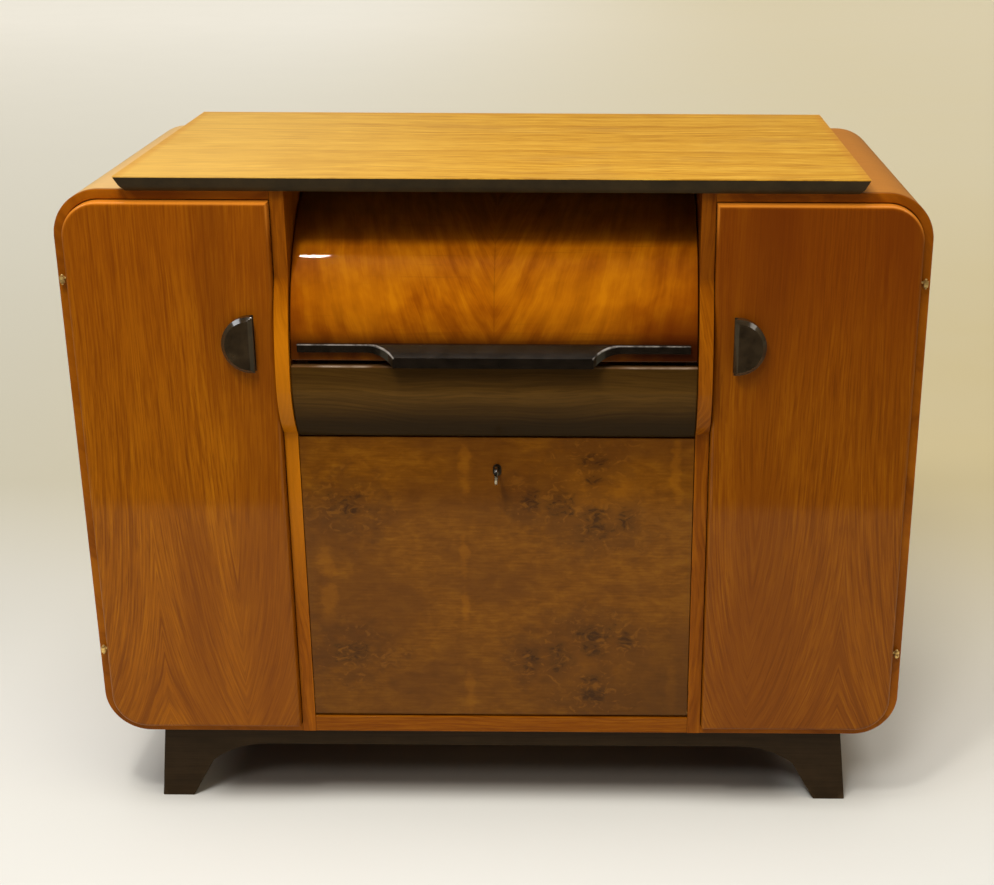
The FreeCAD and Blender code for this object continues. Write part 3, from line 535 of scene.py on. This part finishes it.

# %% [markdown]
# ## Lid veneer
# The cylinder lid is book-matched: two leaves opened like a book meet at a seam in the middle, and
# feathered stripes rise from it to both sides. The height is measured along the curve of the lid,
# so the angle round the lid's axis takes the place of z. The stripes are soft, because the fibres
# of such a cut lean in and out of the surface and shimmer, rather than carry dark lines. A ramp
# along the curve multiplies the colour: it is painted shade where the top shadows the strip under
# it and where the handle bar shadows the strip below it, and it also darkens the wood just above
# the handle.


# %% Material: lid walnut
def lid_walnut(axis_y, axis_z, radius):
    material, here = new_surface("lid_walnut")
    x, y, z = here.parts()
    climb = (z - axis_z).maths("ARCTAN2", axis_y - y) * radius
    out = x.size()
    sway = here.stretched(9.0, 4.0, 4.0).noise(3.0, 0.55)
    steepest_lean = 0.95
    lean_fall = -8.0
    lean = (out * lean_fall).maths("EXPONENT") * steepest_lean
    across = out - climb * lean + sway * 0.055
    flow = across.node("ShaderNodeCombineXYZ", None, {0: across, 1: climb, 2: x})
    feather = (across * 60.0).lines(2.0, 0.5)
    shimmer = flow.stretched(28.0, 20.0, 6.0).noise(3.0, 0.55)
    fibres = flow.stretched(420.0, 16.0, 1.0).noise(4.0, 0.6)
    mixed = feather * 0.20 + shimmer * 0.62 + fibres * 0.18
    colour = mixed.tones((0.38, tone(130, 64, 1)), (0.5, tone(152, 81, 2)), (0.62, tone(172, 100, 4)))
    glows = []
    for place, size, flatten in (((-0.180, 0.090), 0.060, 0.8), ((-0.112, 0.130), 0.045, 0.9),
                                 ((0.098, 0.092), 0.075, 0.8), ((0.012, 0.104), 0.040, 1.2),
                                 ((0.170, 0.120), 0.045, 1.0)):
        glows.append(smudge(here, x, climb, place, size, flatten, (16.0, 8.0, 8.0), 1.6))
    colour = (strongest(glows) * 0.22).mix(colour, tone(196, 121, 10))
    ends = out.fade(0.19, 0.262)
    colour = (ends * 0.4).mix(colour, tone(120, 54, 1))
    low_end = x.fade(0.13, 0.23) * climb.fade(0.11, 0.04)
    colour = (low_end * 0.8).mix(colour, tone(96, 36, 1))
    ripple = here.stretched(5.0, 150.0, 150.0).noise(3.0, 0.6).fade(0.60, 0.72)
    colour = (ripple * 0.30).mix(colour, tone(120, 62, 2))
    arc_length = 0.25
    # painted shade: darkens the lid under the top and at the handle
    painted_shade = (climb * (1 / arc_length)).tones(
        (0.13, (0.24, 0.22, 0.24, 1.0)), (0.2, (0.72, 0.70, 0.72, 1.0)),
        (0.34, (1.0, 1.0, 1.0, 1.0)), (0.64, (0.94, 0.94, 0.94, 1.0)),
        (0.69, (0.44, 0.41, 0.44, 1.0)), (0.88, (0.24, 0.22, 0.24, 1.0)))
    colour = colour.times(painted_shade)
    seam = out.fade(0.0012, 0.0002)
    colour = (seam * 0.35).mix(colour, tone(92, 44, 1))
    return set_surface(material, colour, 0.36, fibres, 0.06, grain_depth,
                       specular_ior_level=0.05, coat_weight=0.7, coat_roughness=0.03)


lid_low, lid_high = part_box("lid_panel")
pivot_low, pivot_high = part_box("lid_pivots")
lid_axis_y = (pivot_low.y + pivot_high.y) / 2
lid_axis_z = (pivot_low.z + pivot_high.z) / 2
lid_start = math.radians(3.0)
lid_radius = (lid_axis_y - lid_low.y) / math.cos(lid_start)
lid_finish = lid_walnut(lid_axis_y, lid_axis_z, lid_radius)

# %% [markdown]
# ## Flap veneer
# The fall flap is faced with a burr: fine level grain that is broken by clouds of gold and by
# clusters of small knots. The sheet is opened about a level seam in the middle, so that every knot
# comes twice, and the height above or below the seam places it. A knot is a dark smudge in a wider
# shade, both torn by noise, with a few bright curls where the fibres stand on end.


# %% Material: flap walnut
def flap_walnut(low, high):
    material, here = new_surface("flap_walnut")
    x, _, z = here.parts()
    level = (z - (low.z + high.z) / 2).size()
    fibres = here.stretched(30.0, 300.0, 320.0).noise(4.0, 0.6)
    mottle = here.stretched(40.0, 4.0, 70.0).noise(5.0, 0.6, 0.4)
    mixed = fibres * 0.40 + mottle * 0.60
    colour = mixed.tones((0.36, tone(97, 54, 3)), (0.5, tone(111, 64, 5)), (0.65, tone(125, 76, 8)))
    cloud = here.stretched(6.0, 2.0, 10.0).noise(3.0, 0.55)
    colour = (cloud.fade(0.44, 0.64) * 0.50).mix(colour, tone(82, 43, 8))
    halo = smudge(here, x, level, (0.135, 0.125), 0.085, 0.9)
    colour = (halo * 0.30).mix(colour, tone(152, 92, 5))
    streaks = []
    for place, size, flatten in (((-0.042, 0.165), 0.050, 5.0), ((-0.046, 0.040), 0.040, 5.0),
                                 ((-0.232, 0.030), 0.040, 2.5), ((0.236, 0.160), 0.060, 6.0),
                                 ((0.165, 0.120), 0.045, 2.2), ((0.110, 0.140), 0.050, 1.5)):
        streaks.append(smudge(here, x, level, place, size, flatten))
    colour = (strongest(streaks) * 0.20).mix(colour, tone(168, 102, 6))
    shades = []
    knots = []
    for place, size, flatten in (((0.128, 0.172), 0.017, 0.6), ((0.126, 0.148), 0.013, 0.7),
                                 ((0.083, 0.114), 0.027, 1.1), ((0.128, 0.098), 0.020, 0.8),
                                 ((0.128, 0.076), 0.018, 0.5), ((0.042, 0.116), 0.022, 1.3),
                                 ((0.170, 0.090), 0.022, 1.5), ((-0.202, 0.110), 0.023, 0.8)):
        knots.append(smudge(here, x, level, place, size, flatten))
        shades.append(smudge(here, x, level, place, size * 3.0, flatten))
    corner = (x.fade(0.0, 0.24) * 0.7 + 0.3) * z.fade(0.34, 0.16)
    colour = (corner * 0.70).mix(colour, tone(70, 38, 6))
    shade = strongest(shades)
    colour = (shade * 0.55).mix(colour, tone(74, 40, 10))
    knot = strongest(knots)
    colour = (knot * 0.36).mix(colour, tone(52, 28, 9))
    curls = here.stretched(60.0, 10.0, 90.0).noise(3.0, 0.55, 1.2)
    colour = (curls.fade(0.50, 0.38) * knot * 0.58).mix(colour, tone(34, 19, 7))
    colour = (curls.fade(0.54, 0.66) * shade * 0.34).mix(colour, tone(140, 86, 18))
    return set_surface(material, colour, 0.45, fibres, grain_bump, grain_depth,
                       specular_ior_level=0.05, coat_weight=0.28, coat_roughness=0.10)


flap_finish = flap_walnut(*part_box("flap_panel"))

# %% [markdown]
# ## Dark stain
# The apron is stained so dark that its grain is only just seen under the polish. It is painted
# darker towards its foot and under the handle's lip as painted shade, its top is painted lighter
# as painted light, and its upper front edge carries a pale painted highlight. That edge is found
# on the board itself: the highest points give its height, and the foremost of these its place.
# The plinth is stained black, with little gloss and some scuffs at the foot.


# %% Materials: apron stain and plinth stain
def apron_stain(board):
    material, here = new_surface("apron_stain")
    x, y, z = here.parts()
    sway = here.stretched(3.0, 6.0, 6.0).noise(2.0, 0.5)
    across = z * 0.9 + sway * 0.06
    colour, height = walnut(across, x, y, tone(64, 42, 11), tone(77, 52, 16), tone(88, 60, 19))
    # painted shade: darker towards the foot, where the apron turns down
    painted_foot_shade = z.fade(0.625, 0.575)
    colour = (painted_foot_shade * 0.85).mix(colour, tone(26, 15, 3))
    # painted shadow under the handle's lip
    painted_lip_shadow = z.fade(0.625, 0.655)
    colour = (painted_lip_shadow * 0.40).mix(colour, tone(34, 18, 2))
    top = max(vertex.co.z for vertex in board.data.vertices)
    edge = min(vertex.co.y for vertex in board.data.vertices if near(vertex.co.z, top))
    rubbed = here.stretched(14.0, 30.0, 30.0).noise(3.0, 0.6)
    # painted light: the top face is painted lighter
    painted_top_light = z.fade(top - 0.0022, top - 0.0006)
    colour = (painted_top_light * 0.6).mix(colour, tone(96, 64, 34))
    # painted highlight: a pale line along the upper front edge
    painted_ledge_highlight = painted_top_light * y.fade(edge + 0.0030, edge + 0.0015) * rubbed.fade(0.36, 0.62)
    colour = (painted_ledge_highlight * 0.55).mix(colour, tone(172, 152, 132))
    return set_surface(material, colour, 0.34, height, 0.08, grain_depth,
                       specular_ior_level=0.05, coat_weight=0.06, coat_roughness=0.08)


def black_stain():
    material, here = new_surface("black_stain")
    _, _, z = here.parts()
    fibres = here.stretched(10.0, 10.0, 380.0).noise(3.0, 0.6)
    rubbed = here.stretched(20.0, 20.0, 20.0).noise(4.0, 0.6)
    colour = (fibres * 0.6 + rubbed * 0.4).tones((0.35, tone(36, 25, 13)), (0.65, tone(52, 38, 22)))
    scuff = z.fade(0.03, 0.0) * rubbed.fade(0.48, 0.62)
    colour = (scuff * 0.4).mix(colour, tone(84, 68, 48))
    roughness = rubbed * 0.25 + 0.32
    return set_surface(material, colour, roughness, fibres, 0.12, grain_depth, specular_ior_level=0.10)


apron_finish = apron_stain(nodes["apron"])
plinth_finish = black_stain()

# %% [markdown]
# ## Black lacquer
# Handle, pulls and edging are lacquered black. Black things are mostly seen by what they mirror,
# so their roughness carries the look: a little dust and many fine rubbed spots keep it from being
# a perfect mirror. On the handle, the edge of the two scoops carries a pale painted highlight. A
# scoop is part of a circle seen from above, so the distance from that circle gives the highlight
# line.


# %% Materials: lacquer of the pulls, the handle and the edging
def scoop_highlight_line(here):
    x, y, z = here.parts()
    handle_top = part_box("lid_handle")[1].z
    bar_front = -0.244
    scoop_start = 0.161
    scoop_radius = 0.0417
    lip_slope = 0.605
    inward = (scoop_start - x.size()).maths("MAXIMUM", 0.0).maths("POWER", 2.0)
    forward = (y - (bar_front - scoop_radius)).maths("POWER", 2.0)
    beside = ((inward + forward).maths("SQRT") - scoop_radius).size()
    below = z - handle_top - (y - bar_front).maths("MINIMUM", 0.0) * lip_slope
    return beside.fade(0.0019, 0.0005) * below.fade(-0.0020, -0.0006)


def black_lacquer(name, dark, light, painted_edge_highlight=None):
    material, here = new_surface(name)
    rubbed = here.stretched(60.0, 60.0, 60.0).noise(4.0, 0.6)
    dust = here.stretched(600.0, 600.0, 600.0).noise(2.0, 0.5)
    colour = rubbed.tones((0.3, dark), (0.7, light))
    # painted highlight along the handle's scoop edges
    if painted_edge_highlight is not None:
        colour = (painted_edge_highlight(here) * rubbed.fade(0.30, 0.62) * 0.6).mix(colour, tone(176, 168, 160))
    roughness = rubbed * 0.14 + dust * 0.06 + 0.08
    return set_surface(material, colour, roughness, dust, 0.03, 0.0002,
                       coat_weight=0.6, coat_roughness=0.05)


def edging_lacquer():
    material, here = new_surface("edging_lacquer")
    rubbed = here.stretched(40.0, 40.0, 40.0).noise(4.0, 0.6)
    colour = rubbed.tones((0.3, tone(36, 26, 12)), (0.7, tone(54, 41, 20)))
    roughness = rubbed * 0.2 + 0.25
    return set_surface(material, colour, roughness, rubbed, 0.03, 0.0002, specular_ior_level=0.15)


pull_finish = black_lacquer("pull_lacquer", tone(32, 24, 14), tone(54, 42, 26))
handle_finish = black_lacquer("handle_lacquer", tone(14, 10, 6), tone(28, 21, 14), scoop_highlight_line)
edging_finish = edging_lacquer()

# %% [markdown]
# ## Bare wood and metal
# Inside, nothing is polished. Shelves, blocks and the deck are beech with its short dark flecks,
# and backs and dividers are birch plywood with soft flames. The metal is brass that has lost its
# shine in places, plain steel and iron that was blackened in oil.


# %% Materials: beech, birch ply, brass, steel, dark iron
def beech():
    material, here = new_surface("beech")
    fibres = here.stretched(12.0, 160.0, 300.0).noise(3.0, 0.6)
    flecks = here.stretched(90.0, 520.0, 520.0).noise(1.0, 0.5).fade(0.64, 0.72)
    colour = fibres.tones((0.3, tone(176, 130, 82)), (0.7, tone(206, 162, 110)))
    colour = (flecks * 0.45).mix(colour, tone(140, 92, 52))
    return set_surface(material, colour, 0.62, fibres, 0.15, 0.0004)


def birch_ply():
    material, here = new_surface("birch_ply")
    sway = here.stretched(4.0, 2.0, 1.4).noise(3.0, 0.55)
    x, _, _ = here.parts()
    flames = (x * 9.0 + sway * 3.0).lines(3.0, 0.6)
    fibres = here.stretched(300.0, 300.0, 10.0).noise(3.0, 0.6)
    colour = (flames * 0.6 + fibres * 0.4).tones((0.35, tone(172, 134, 84)), (0.65, tone(206, 172, 122)))
    return set_surface(material, colour, 0.66, fibres, 0.15, 0.0004)


def metal(name, wear_and_highlight, clean, roughness, share=1.0):
    material, here = new_surface(name)
    tarnish = here.stretched(160.0, 160.0, 160.0).noise(4.0, 0.6)
    colour = tarnish.tones((0.35, wear_and_highlight), (0.6, clean))
    gloss = roughness + 0.25 - tarnish * 0.3
    return set_surface(material, colour, gloss, tarnish, 0.05, 0.0002, metallic=share)


beech_finish = beech()
ply_finish = birch_ply()
brass_finish = metal("brass", tone(142, 108, 58), tone(226, 190, 116), 0.16, 0.5)
steel_finish = metal("steel", tone(132, 130, 126), tone(206, 204, 200), 0.18)
iron_finish = metal("dark_iron", tone(34, 30, 27), tone(70, 64, 58), 0.28)

# %% [markdown]
# ## The bent shells
# Each cupboard is wrapped by a shell that bends round two large corners. A block of the outer size
# is beveled at its two outer edges with many segments, the faces towards the middle, the front and
# the back are deleted, and a Solidify modifier gives what is left the thickness of the board.
# This keeps the two arcs concentric, which a pair of separate bevels wouldn't do.


# %% Shells
def right_shell():
    wall = 0.012
    corner = 0.060
    piece = add_block("right_shell_finished", shell_low, shell_high)
    bpy.ops.object.mode_set(mode="EDIT")
    pick(piece, "EDGE", lambda e: runs_along(e, 1) and near(edge_middle(e).x, shell_high.x))
    bpy.ops.mesh.bevel(offset=corner, segments=28, affect="EDGES", profile=0.5)
    pick(piece, "FACE", lambda f: abs(f.normal.y) > 0.9 or f.normal.x < -0.9)
    bpy.ops.mesh.delete(type="FACE")
    bpy.ops.object.mode_set(mode="OBJECT")
    apply_modifier(piece, "SOLIDIFY", thickness=wall, offset=-1.0, use_even_offset=True)
    finish_shape(piece, 0.0012)
    return piece


shell = right_shell()
stand_for(mirrored_copy(shell, "left_shell_finished"), shell_finish, "shell_walnut", "left_shell")
stand_for(shell, shell_finish, "shell_walnut", "right_shell")
print("shells:", len(shell.data.polygons), "faces each")

# %% [markdown]
# ## The doors
# A door is a thick board that stands proud of the carcase, so its edge is seen all round. The
# outer corners follow the shell, and the front edge has a full soft round that shows as a thin
# bright line under the top. The back stays square.


# %% Doors
def right_door():
    low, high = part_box("right_door")
    corner = 0.047
    front_round = 0.006
    piece = add_block("right_door_finished", low, high)
    bpy.ops.object.mode_set(mode="EDIT")
    pick(piece, "EDGE", lambda e: runs_along(e, 1) and near(edge_middle(e).x, high.x))
    bpy.ops.mesh.bevel(offset=corner, segments=24, affect="EDGES", profile=0.5)
    pick(piece, "FACE", lambda f: f.normal.y < -0.9)
    bpy.ops.mesh.region_to_loop()
    bpy.ops.mesh.bevel(offset=front_round, segments=8, affect="EDGES", profile=0.5)
    bpy.ops.object.mode_set(mode="OBJECT")
    finish_shape(piece, 0.0006, 2)
    return piece


door = right_door()
stand_for(mirrored_copy(door, "left_door_finished"), door_finish, "door_walnut", "left_door")
stand_for(door, door_finish, "door_walnut", "right_door")
print("doors:", len(door.data.polygons), "faces each")

# %% [markdown]
# ## Half-moon pulls
# A turned disc, cut straight on one side, with a flat chamfer round its face and a groove for the
# fingertips behind the straight edge. The disc is a cylinder primitive whose front loop is beveled
# for the chamfer. Two bisect cuts, one upright and one aslant, make the straight side with its own
# chamfer, and the groove is taken out with a Boolean.


# %% Pulls
def right_pull():
    low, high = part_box("right_pull")
    radius = (high.z - low.z) / 2
    centre = Vector((high.x - radius, (low.y + high.y) / 2, (low.z + high.z) / 2))
    depth = high.y - low.y
    chamfer = 0.005
    groove = 0.0044
    bpy.ops.object.select_all(action="DESELECT")
    bpy.ops.mesh.primitive_cylinder_add(vertices=128, radius=radius, depth=depth, location=centre,
                                        rotation=(math.radians(90), 0, 0))
    piece = bpy.context.object
    piece.name = "right_pull_finished"
    bpy.ops.object.transform_apply(location=True, rotation=True, scale=True)
    bpy.ops.object.mode_set(mode="EDIT")
    pick(piece, "FACE", lambda f: f.normal.y < -0.9)
    bpy.ops.mesh.region_to_loop()
    bpy.ops.mesh.bevel(offset=chamfer, segments=1, affect="EDGES", profile=0.5)
    for place, way in (((low.x, 0, 0), (1, 0, 0)), ((low.x, low.y + chamfer, 0), (1, 1, 0))):
        bpy.ops.mesh.select_all(action="SELECT")
        bpy.ops.mesh.bisect(plane_co=place, plane_no=way, use_fill=True, clear_inner=True)
    bpy.ops.object.mode_set(mode="OBJECT")
    bpy.ops.mesh.primitive_cylinder_add(vertices=48, radius=groove, depth=3 * radius,
                                        location=(low.x, high.y - groove, centre.z))
    cutter = bpy.context.object
    apply_modifier(piece, "BOOLEAN", operation="DIFFERENCE", object=cutter, solver="EXACT")
    bpy.data.objects.remove(cutter)
    finish_shape(piece, 0.0009)
    return piece


pull = right_pull()
stand_for(mirrored_copy(pull, "left_pull_finished"), pull_finish, "black_lacquer", "left_pull")
stand_for(pull, pull_finish, "black_lacquer", "right_pull")
print("pulls:", len(pull.data.polygons), "faces each")

# %% [markdown]
# ## The cylinder lid
# The lid is a section of a cylinder that rolls back under the top. A flat strip, as thick as the
# lid, is spun round the pivot axis, which gives an exact arc with even faces for the polish to
# flow over.


# %% Lid panel
def spun_strip(name, x_low, x_high, axis, radii, angles, steps):
    middle = (radii[0] + radii[1]) / 2
    turn = angles[0]
    centre = Vector(((x_low + x_high) / 2, axis[0] - middle * math.cos(turn),
                     axis[1] + middle * math.sin(turn)))
    bpy.ops.object.select_all(action="DESELECT")
    bpy.ops.mesh.primitive_plane_add(size=1, location=centre, rotation=(-turn, 0, 0))
    piece = bpy.context.object
    piece.name = name
    piece.scale = (x_high - x_low, radii[1] - radii[0], 1)
    bpy.ops.object.transform_apply(location=True, rotation=True, scale=True)
    bpy.ops.object.mode_set(mode="EDIT")
    bpy.ops.mesh.select_all(action="SELECT")
    bpy.ops.mesh.spin(steps=steps, angle=angles[1] - angles[0],
                      center=(0, axis[0], axis[1]), axis=(1, 0, 0))
    bpy.ops.object.mode_set(mode="OBJECT")
    clean_mesh(piece)
    return piece


lid_wall = 0.010
lid_end = math.radians(80.0)
lid_steps = 72
lid_panel = spun_strip("lid_panel_finished", lid_low.x, lid_high.x, (lid_axis_y, lid_axis_z),
                       (lid_radius - lid_wall, lid_radius), (lid_start, lid_end), lid_steps)
finish_shape(lid_panel, 0.0012)
stand_for(lid_panel, lid_finish, "lid_walnut", "lid_panel")
print("lid:", [round(length, 4) for length in lid_panel.dimensions], "m, CAD", lid_high - lid_low)

# %% [markdown]
# ## Boards that keep their CAD outline
# The remaining boards, the key and its plate are softened copies. Only the softness differs. The
# handle and the apron are rounded more, as lacquered wood is, and the small metal pieces less. One
# partition is softened and mirrored, so that both cheeks are the same.

# %% Softened boards
partition = softened("left_partition", 0.0018)
stand_for(mirrored_copy(partition, "right_partition_finished"), partition_finish, "shell_walnut",
          "right_partition")
stand_for(partition, partition_finish, "shell_walnut", "left_partition")
for name, softness, finish, slot in (
        ("bottom_rail", 0.0012, rail_finish, "shell_walnut"),
        ("apron", 0.0025, apron_finish, "apron_stain"),
        ("flap_panel", 0.0012, flap_finish, "flap_walnut"),
        ("top_plate", 0.0005, top_finish, "top_walnut"),
        ("front_edging", 0.0008, edging_finish, "black_lacquer"),
        ("right_edging", 0.0008, edging_finish, "black_lacquer"),
        ("left_edging", 0.0008, edging_finish, "black_lacquer"),
        ("lid_handle", 0.0030, handle_finish, "black_lacquer"),
        ("plinth_front", 0.0014, plinth_finish, "black_stain"),
        ("plinth_rear", 0.0014, plinth_finish, "black_stain"),
        ("right_plinth_side", 0.0014, plinth_finish, "black_stain"),
        ("left_plinth_side", 0.0014, plinth_finish, "black_stain"),
        ("key", 0.0005, steel_finish, "steel"),
        ("escutcheon", 0.0003, iron_finish, "dark_iron")):
    piece = stand_for(softened(name, softness), finish, slot, name)
    print("board:", piece.name, len(piece.data.polygons), "faces")

# %% [markdown]
# ## Everything else
# What is left shows only when a door or the lid is open, or from behind and below. These CAD nodes
# are shown as they are, each with the finish of its material slot.

# %% Paint the remaining nodes
slot_finish = {
    "beech": beech_finish,
    "birch_ply": ply_finish,
    "brass": brass_finish,
    "steel": steel_finish,
    "dark_iron": iron_finish,
}
painted = 0
for part in frame["record"]["subparts"]:
    node = nodes[part["node"]]
    if not node.hide_render:
        node.data.materials.clear()
        node.data.materials.append(slot_finish[part["material_slot"]])
        painted += 1
print("painted", painted, "CAD nodes as they are")

# %% [markdown]
# ## A plain floor
# The cabinet stands on a pale paper floor that fills the picture and is painted warmer to the
# right and towards the back, as painted light of a warm lamp. For mirror rays the paper ends in a
# dim room, in front and at both sides: this draws the soft level line across the polished doors.
# Under the plinth the paper is painted browner, as a painted shadow of the cabinet.

# %% Floor
floor_size = 80
bpy.ops.object.select_all(action="DESELECT")
bpy.ops.mesh.primitive_plane_add(size=floor_size, location=(0, 0, 0))
floor = bpy.context.object
floor.name = "floor"


def floor_paper():
    material, here = new_surface("floor_paper")
    x, y, _ = here.parts()
    grain = here.stretched(3.0, 3.0, 3.0).noise(2.0, 0.5)
    colour = (y * 0.1).tones((0.0, tone(212, 211, 206)), (0.05, tone(202, 200, 193)),
                             (0.1, tone(187, 183, 168)), (0.3, tone(200, 196, 182)),
                             (1.0, tone(226, 222, 212)))
    # painted light: a warm tint to the right and towards the back
    painted_warm_light = x.fade(-2.2, 1.7) * y.fade(-0.6, 1.2)
    warm_light_tone = y.fade(1.0, 5.0).mix(tone(190, 171, 120), tone(200, 187, 151))
    colour = (painted_warm_light * 0.78).mix(colour, warm_light_tone)
    # painted shadow: the floor under the cabinet is painted browner
    painted_floor_shadow = x.size().fade(0.46, 0.38) * y.fade(-0.225, -0.15) * y.fade(0.25, 0.19)
    colour = (painted_floor_shadow * 0.8).mix(colour, tone(70, 52, 34))
    colour = (grain.fade(0.3, 0.7) * 0.04).mix(colour, tone(200, 196, 186))
    mirror = here.node("ShaderNodeLightPath", output="Is Glossy Ray")
    colour = (mirror * 0.6).mix(colour, tone(214, 196, 140))
    front_room = y.fade(-1.29, -1.39)
    side_room = x.size().fade(1.20, 1.45) * 0.65
    colour = (strongest([front_room, side_room]) * mirror).mix(colour, tone(22, 19, 16))
    return set_surface(material, colour, 0.9, specular_ior_level=0.0)


floor.data.materials.append(floor_paper())

# %% [markdown]
# ## Sky
# The world gives an even grey fill. The camera sees it as the colour of the far paper, should it
# ever look past the floor, and mirror rays see a dim room that is open at the back and at the far
# sides.

# %% World
world = bpy.data.worlds.new("studio")
bpy.context.scene.world = world
world.use_nodes = True
sky = Wire(world.node_tree)
side, back, _ = sky.node("ShaderNodeTexCoord", output="Generated").parts()
mirror = sky.node("ShaderNodeLightPath", output="Is Glossy Ray")
seen = sky.node("ShaderNodeLightPath", output="Is Camera Ray")
opening = strongest([side.size().fade(0.60, 0.85), back.fade(-0.2, 0.5)])
dim_room = opening.mix(tone(18, 16, 14), tone(112, 102, 82))
light = mirror.mix(tone(118, 116, 111), dim_room)
background = world.node_tree.nodes["Background"]
world.node_tree.links.new(seen.mix(light, tone(226, 222, 212)).socket, background.inputs["Color"])
background.inputs["Strength"].default_value = 1.0
print("world:", len(world.node_tree.nodes), "nodes")

# %% [markdown]
# ## Lamps
# A wide sun from above, a smaller one from the front and a lamp at the left of the camera give the
# plain light and the shadow of the top on the lid. A weak warm sun fills from the right. Mirror
# rays don't see these four. A small bulb puts the one bright spot on the lid. Two windows and a
# ceiling are seen by mirror rays only, so they gleam on the lacquer and don't make the wood any
# brighter.


# %% Suns, lamps and windows
def add_lamp(name, kind, source, target, energy, colour, **settings):
    data = bpy.data.lights.new(name, kind)
    data.energy = energy
    data.color = colour
    for key, value in settings.items():
        setattr(data, key, value)
    lamp = bpy.data.objects.new(name, data)
    bpy.context.scene.collection.objects.link(lamp)
    lamp.location = source
    lamp.rotation_euler = (Vector(target) - Vector(source)).to_track_quat("-Z", "Y").to_euler()
    return lamp


high_sun = add_lamp("high_sun", "SUN", (-0.06, -0.16, 1.0), (0, 0, 0), 2.2, (1.0, 0.99, 0.97),
                    angle=math.radians(44))
soft_sun = add_lamp("soft_sun", "SUN", (-0.32, -0.9, 1.05), (0, 0, 0), 0.78, (0.98, 0.99, 1.0),
                    angle=math.radians(14))
ceiling_lamp = add_lamp("ceiling_lamp", "AREA", (-0.5, -1.3, 2.5), (-0.1, -0.2, 0.5), 18.0,
                        (1.0, 0.98, 0.94), shape="RECTANGLE", size=0.25, size_y=0.25)
warm_sun = add_lamp("warm_sun", "SUN", (0.9, -0.5, 0.8), (0, 0, 0), 0.45, (1.0, 0.86, 0.62),
                    angle=math.radians(40))
for lamp in (high_sun, soft_sun, warm_sun, ceiling_lamp):
    lamp.visible_glossy = False
add_lamp("bulb", "AREA", (-0.56, -0.91, 2.6), (-0.23, -0.19, 0.79), 5.0, (1.0, 0.97, 0.92),
         shape="RECTANGLE", size=0.09, size_y=0.18)
window = add_lamp("window", "AREA", (-2.3, -0.40, 2.7), (-0.3, -0.25, 0.7), 16.0, (0.95, 0.97, 1.0),
                  shape="RECTANGLE", size=0.9, size_y=0.9)
ceiling = add_lamp("ceiling", "AREA", (0.0, 0.3, 3.2), (0.0, 0.0, 0.0), 38.0, (1.0, 0.98, 0.95),
                   shape="RECTANGLE", size=4.0, size_y=1.4)
right_window = add_lamp("right_window", "AREA", (2.3, -0.40, 2.7), (0.3, -0.25, 0.7), 9.0,
                        (1.0, 0.94, 0.84), shape="RECTANGLE", size=0.9, size_y=0.9)
for lamp in (window, right_window, ceiling):
    lamp.visible_diffuse = False
print("lamps:", len(bpy.data.lights))

# %% [markdown]
# ## The camera
# The camera stands a little right of the middle and looks down by some twenty degrees. The photo
# that it follows was cropped on one side, so the lens is shifted sideways by as much as that.

# %% Camera
camera_place = Vector((0.1282, -2.2087, 1.2932))
camera_pitch = math.radians(20.4306)
camera_yaw = math.radians(-0.2162)
camera_roll = math.radians(0.2473)
image_width = 994
focal_pixels = 1625.62
optical_centre = 588.98
sensor_width = 36.0
camera_data = bpy.data.cameras.new("camera")
camera_data.sensor_fit = "HORIZONTAL"
camera_data.sensor_width = sensor_width
camera_data.lens = sensor_width * focal_pixels / image_width
camera_data.shift_x = (image_width / 2 - optical_centre) / image_width
camera = bpy.data.objects.new("camera", camera_data)
bpy.context.scene.collection.objects.link(camera)
camera.location = camera_place
look = Vector((math.sin(camera_yaw) * math.cos(camera_pitch),
               math.cos(camera_yaw) * math.cos(camera_pitch), -math.sin(camera_pitch)))
turn = Quaternion(look, -camera_roll) @ look.to_track_quat("-Z", "Y")
camera.rotation_euler = turn.to_euler()
bpy.context.scene.camera = camera
bpy.context.scene.view_settings.view_transform = "Standard"
print("camera lens", round(camera_data.lens, 2), "shift", round(camera_data.shift_x, 4))
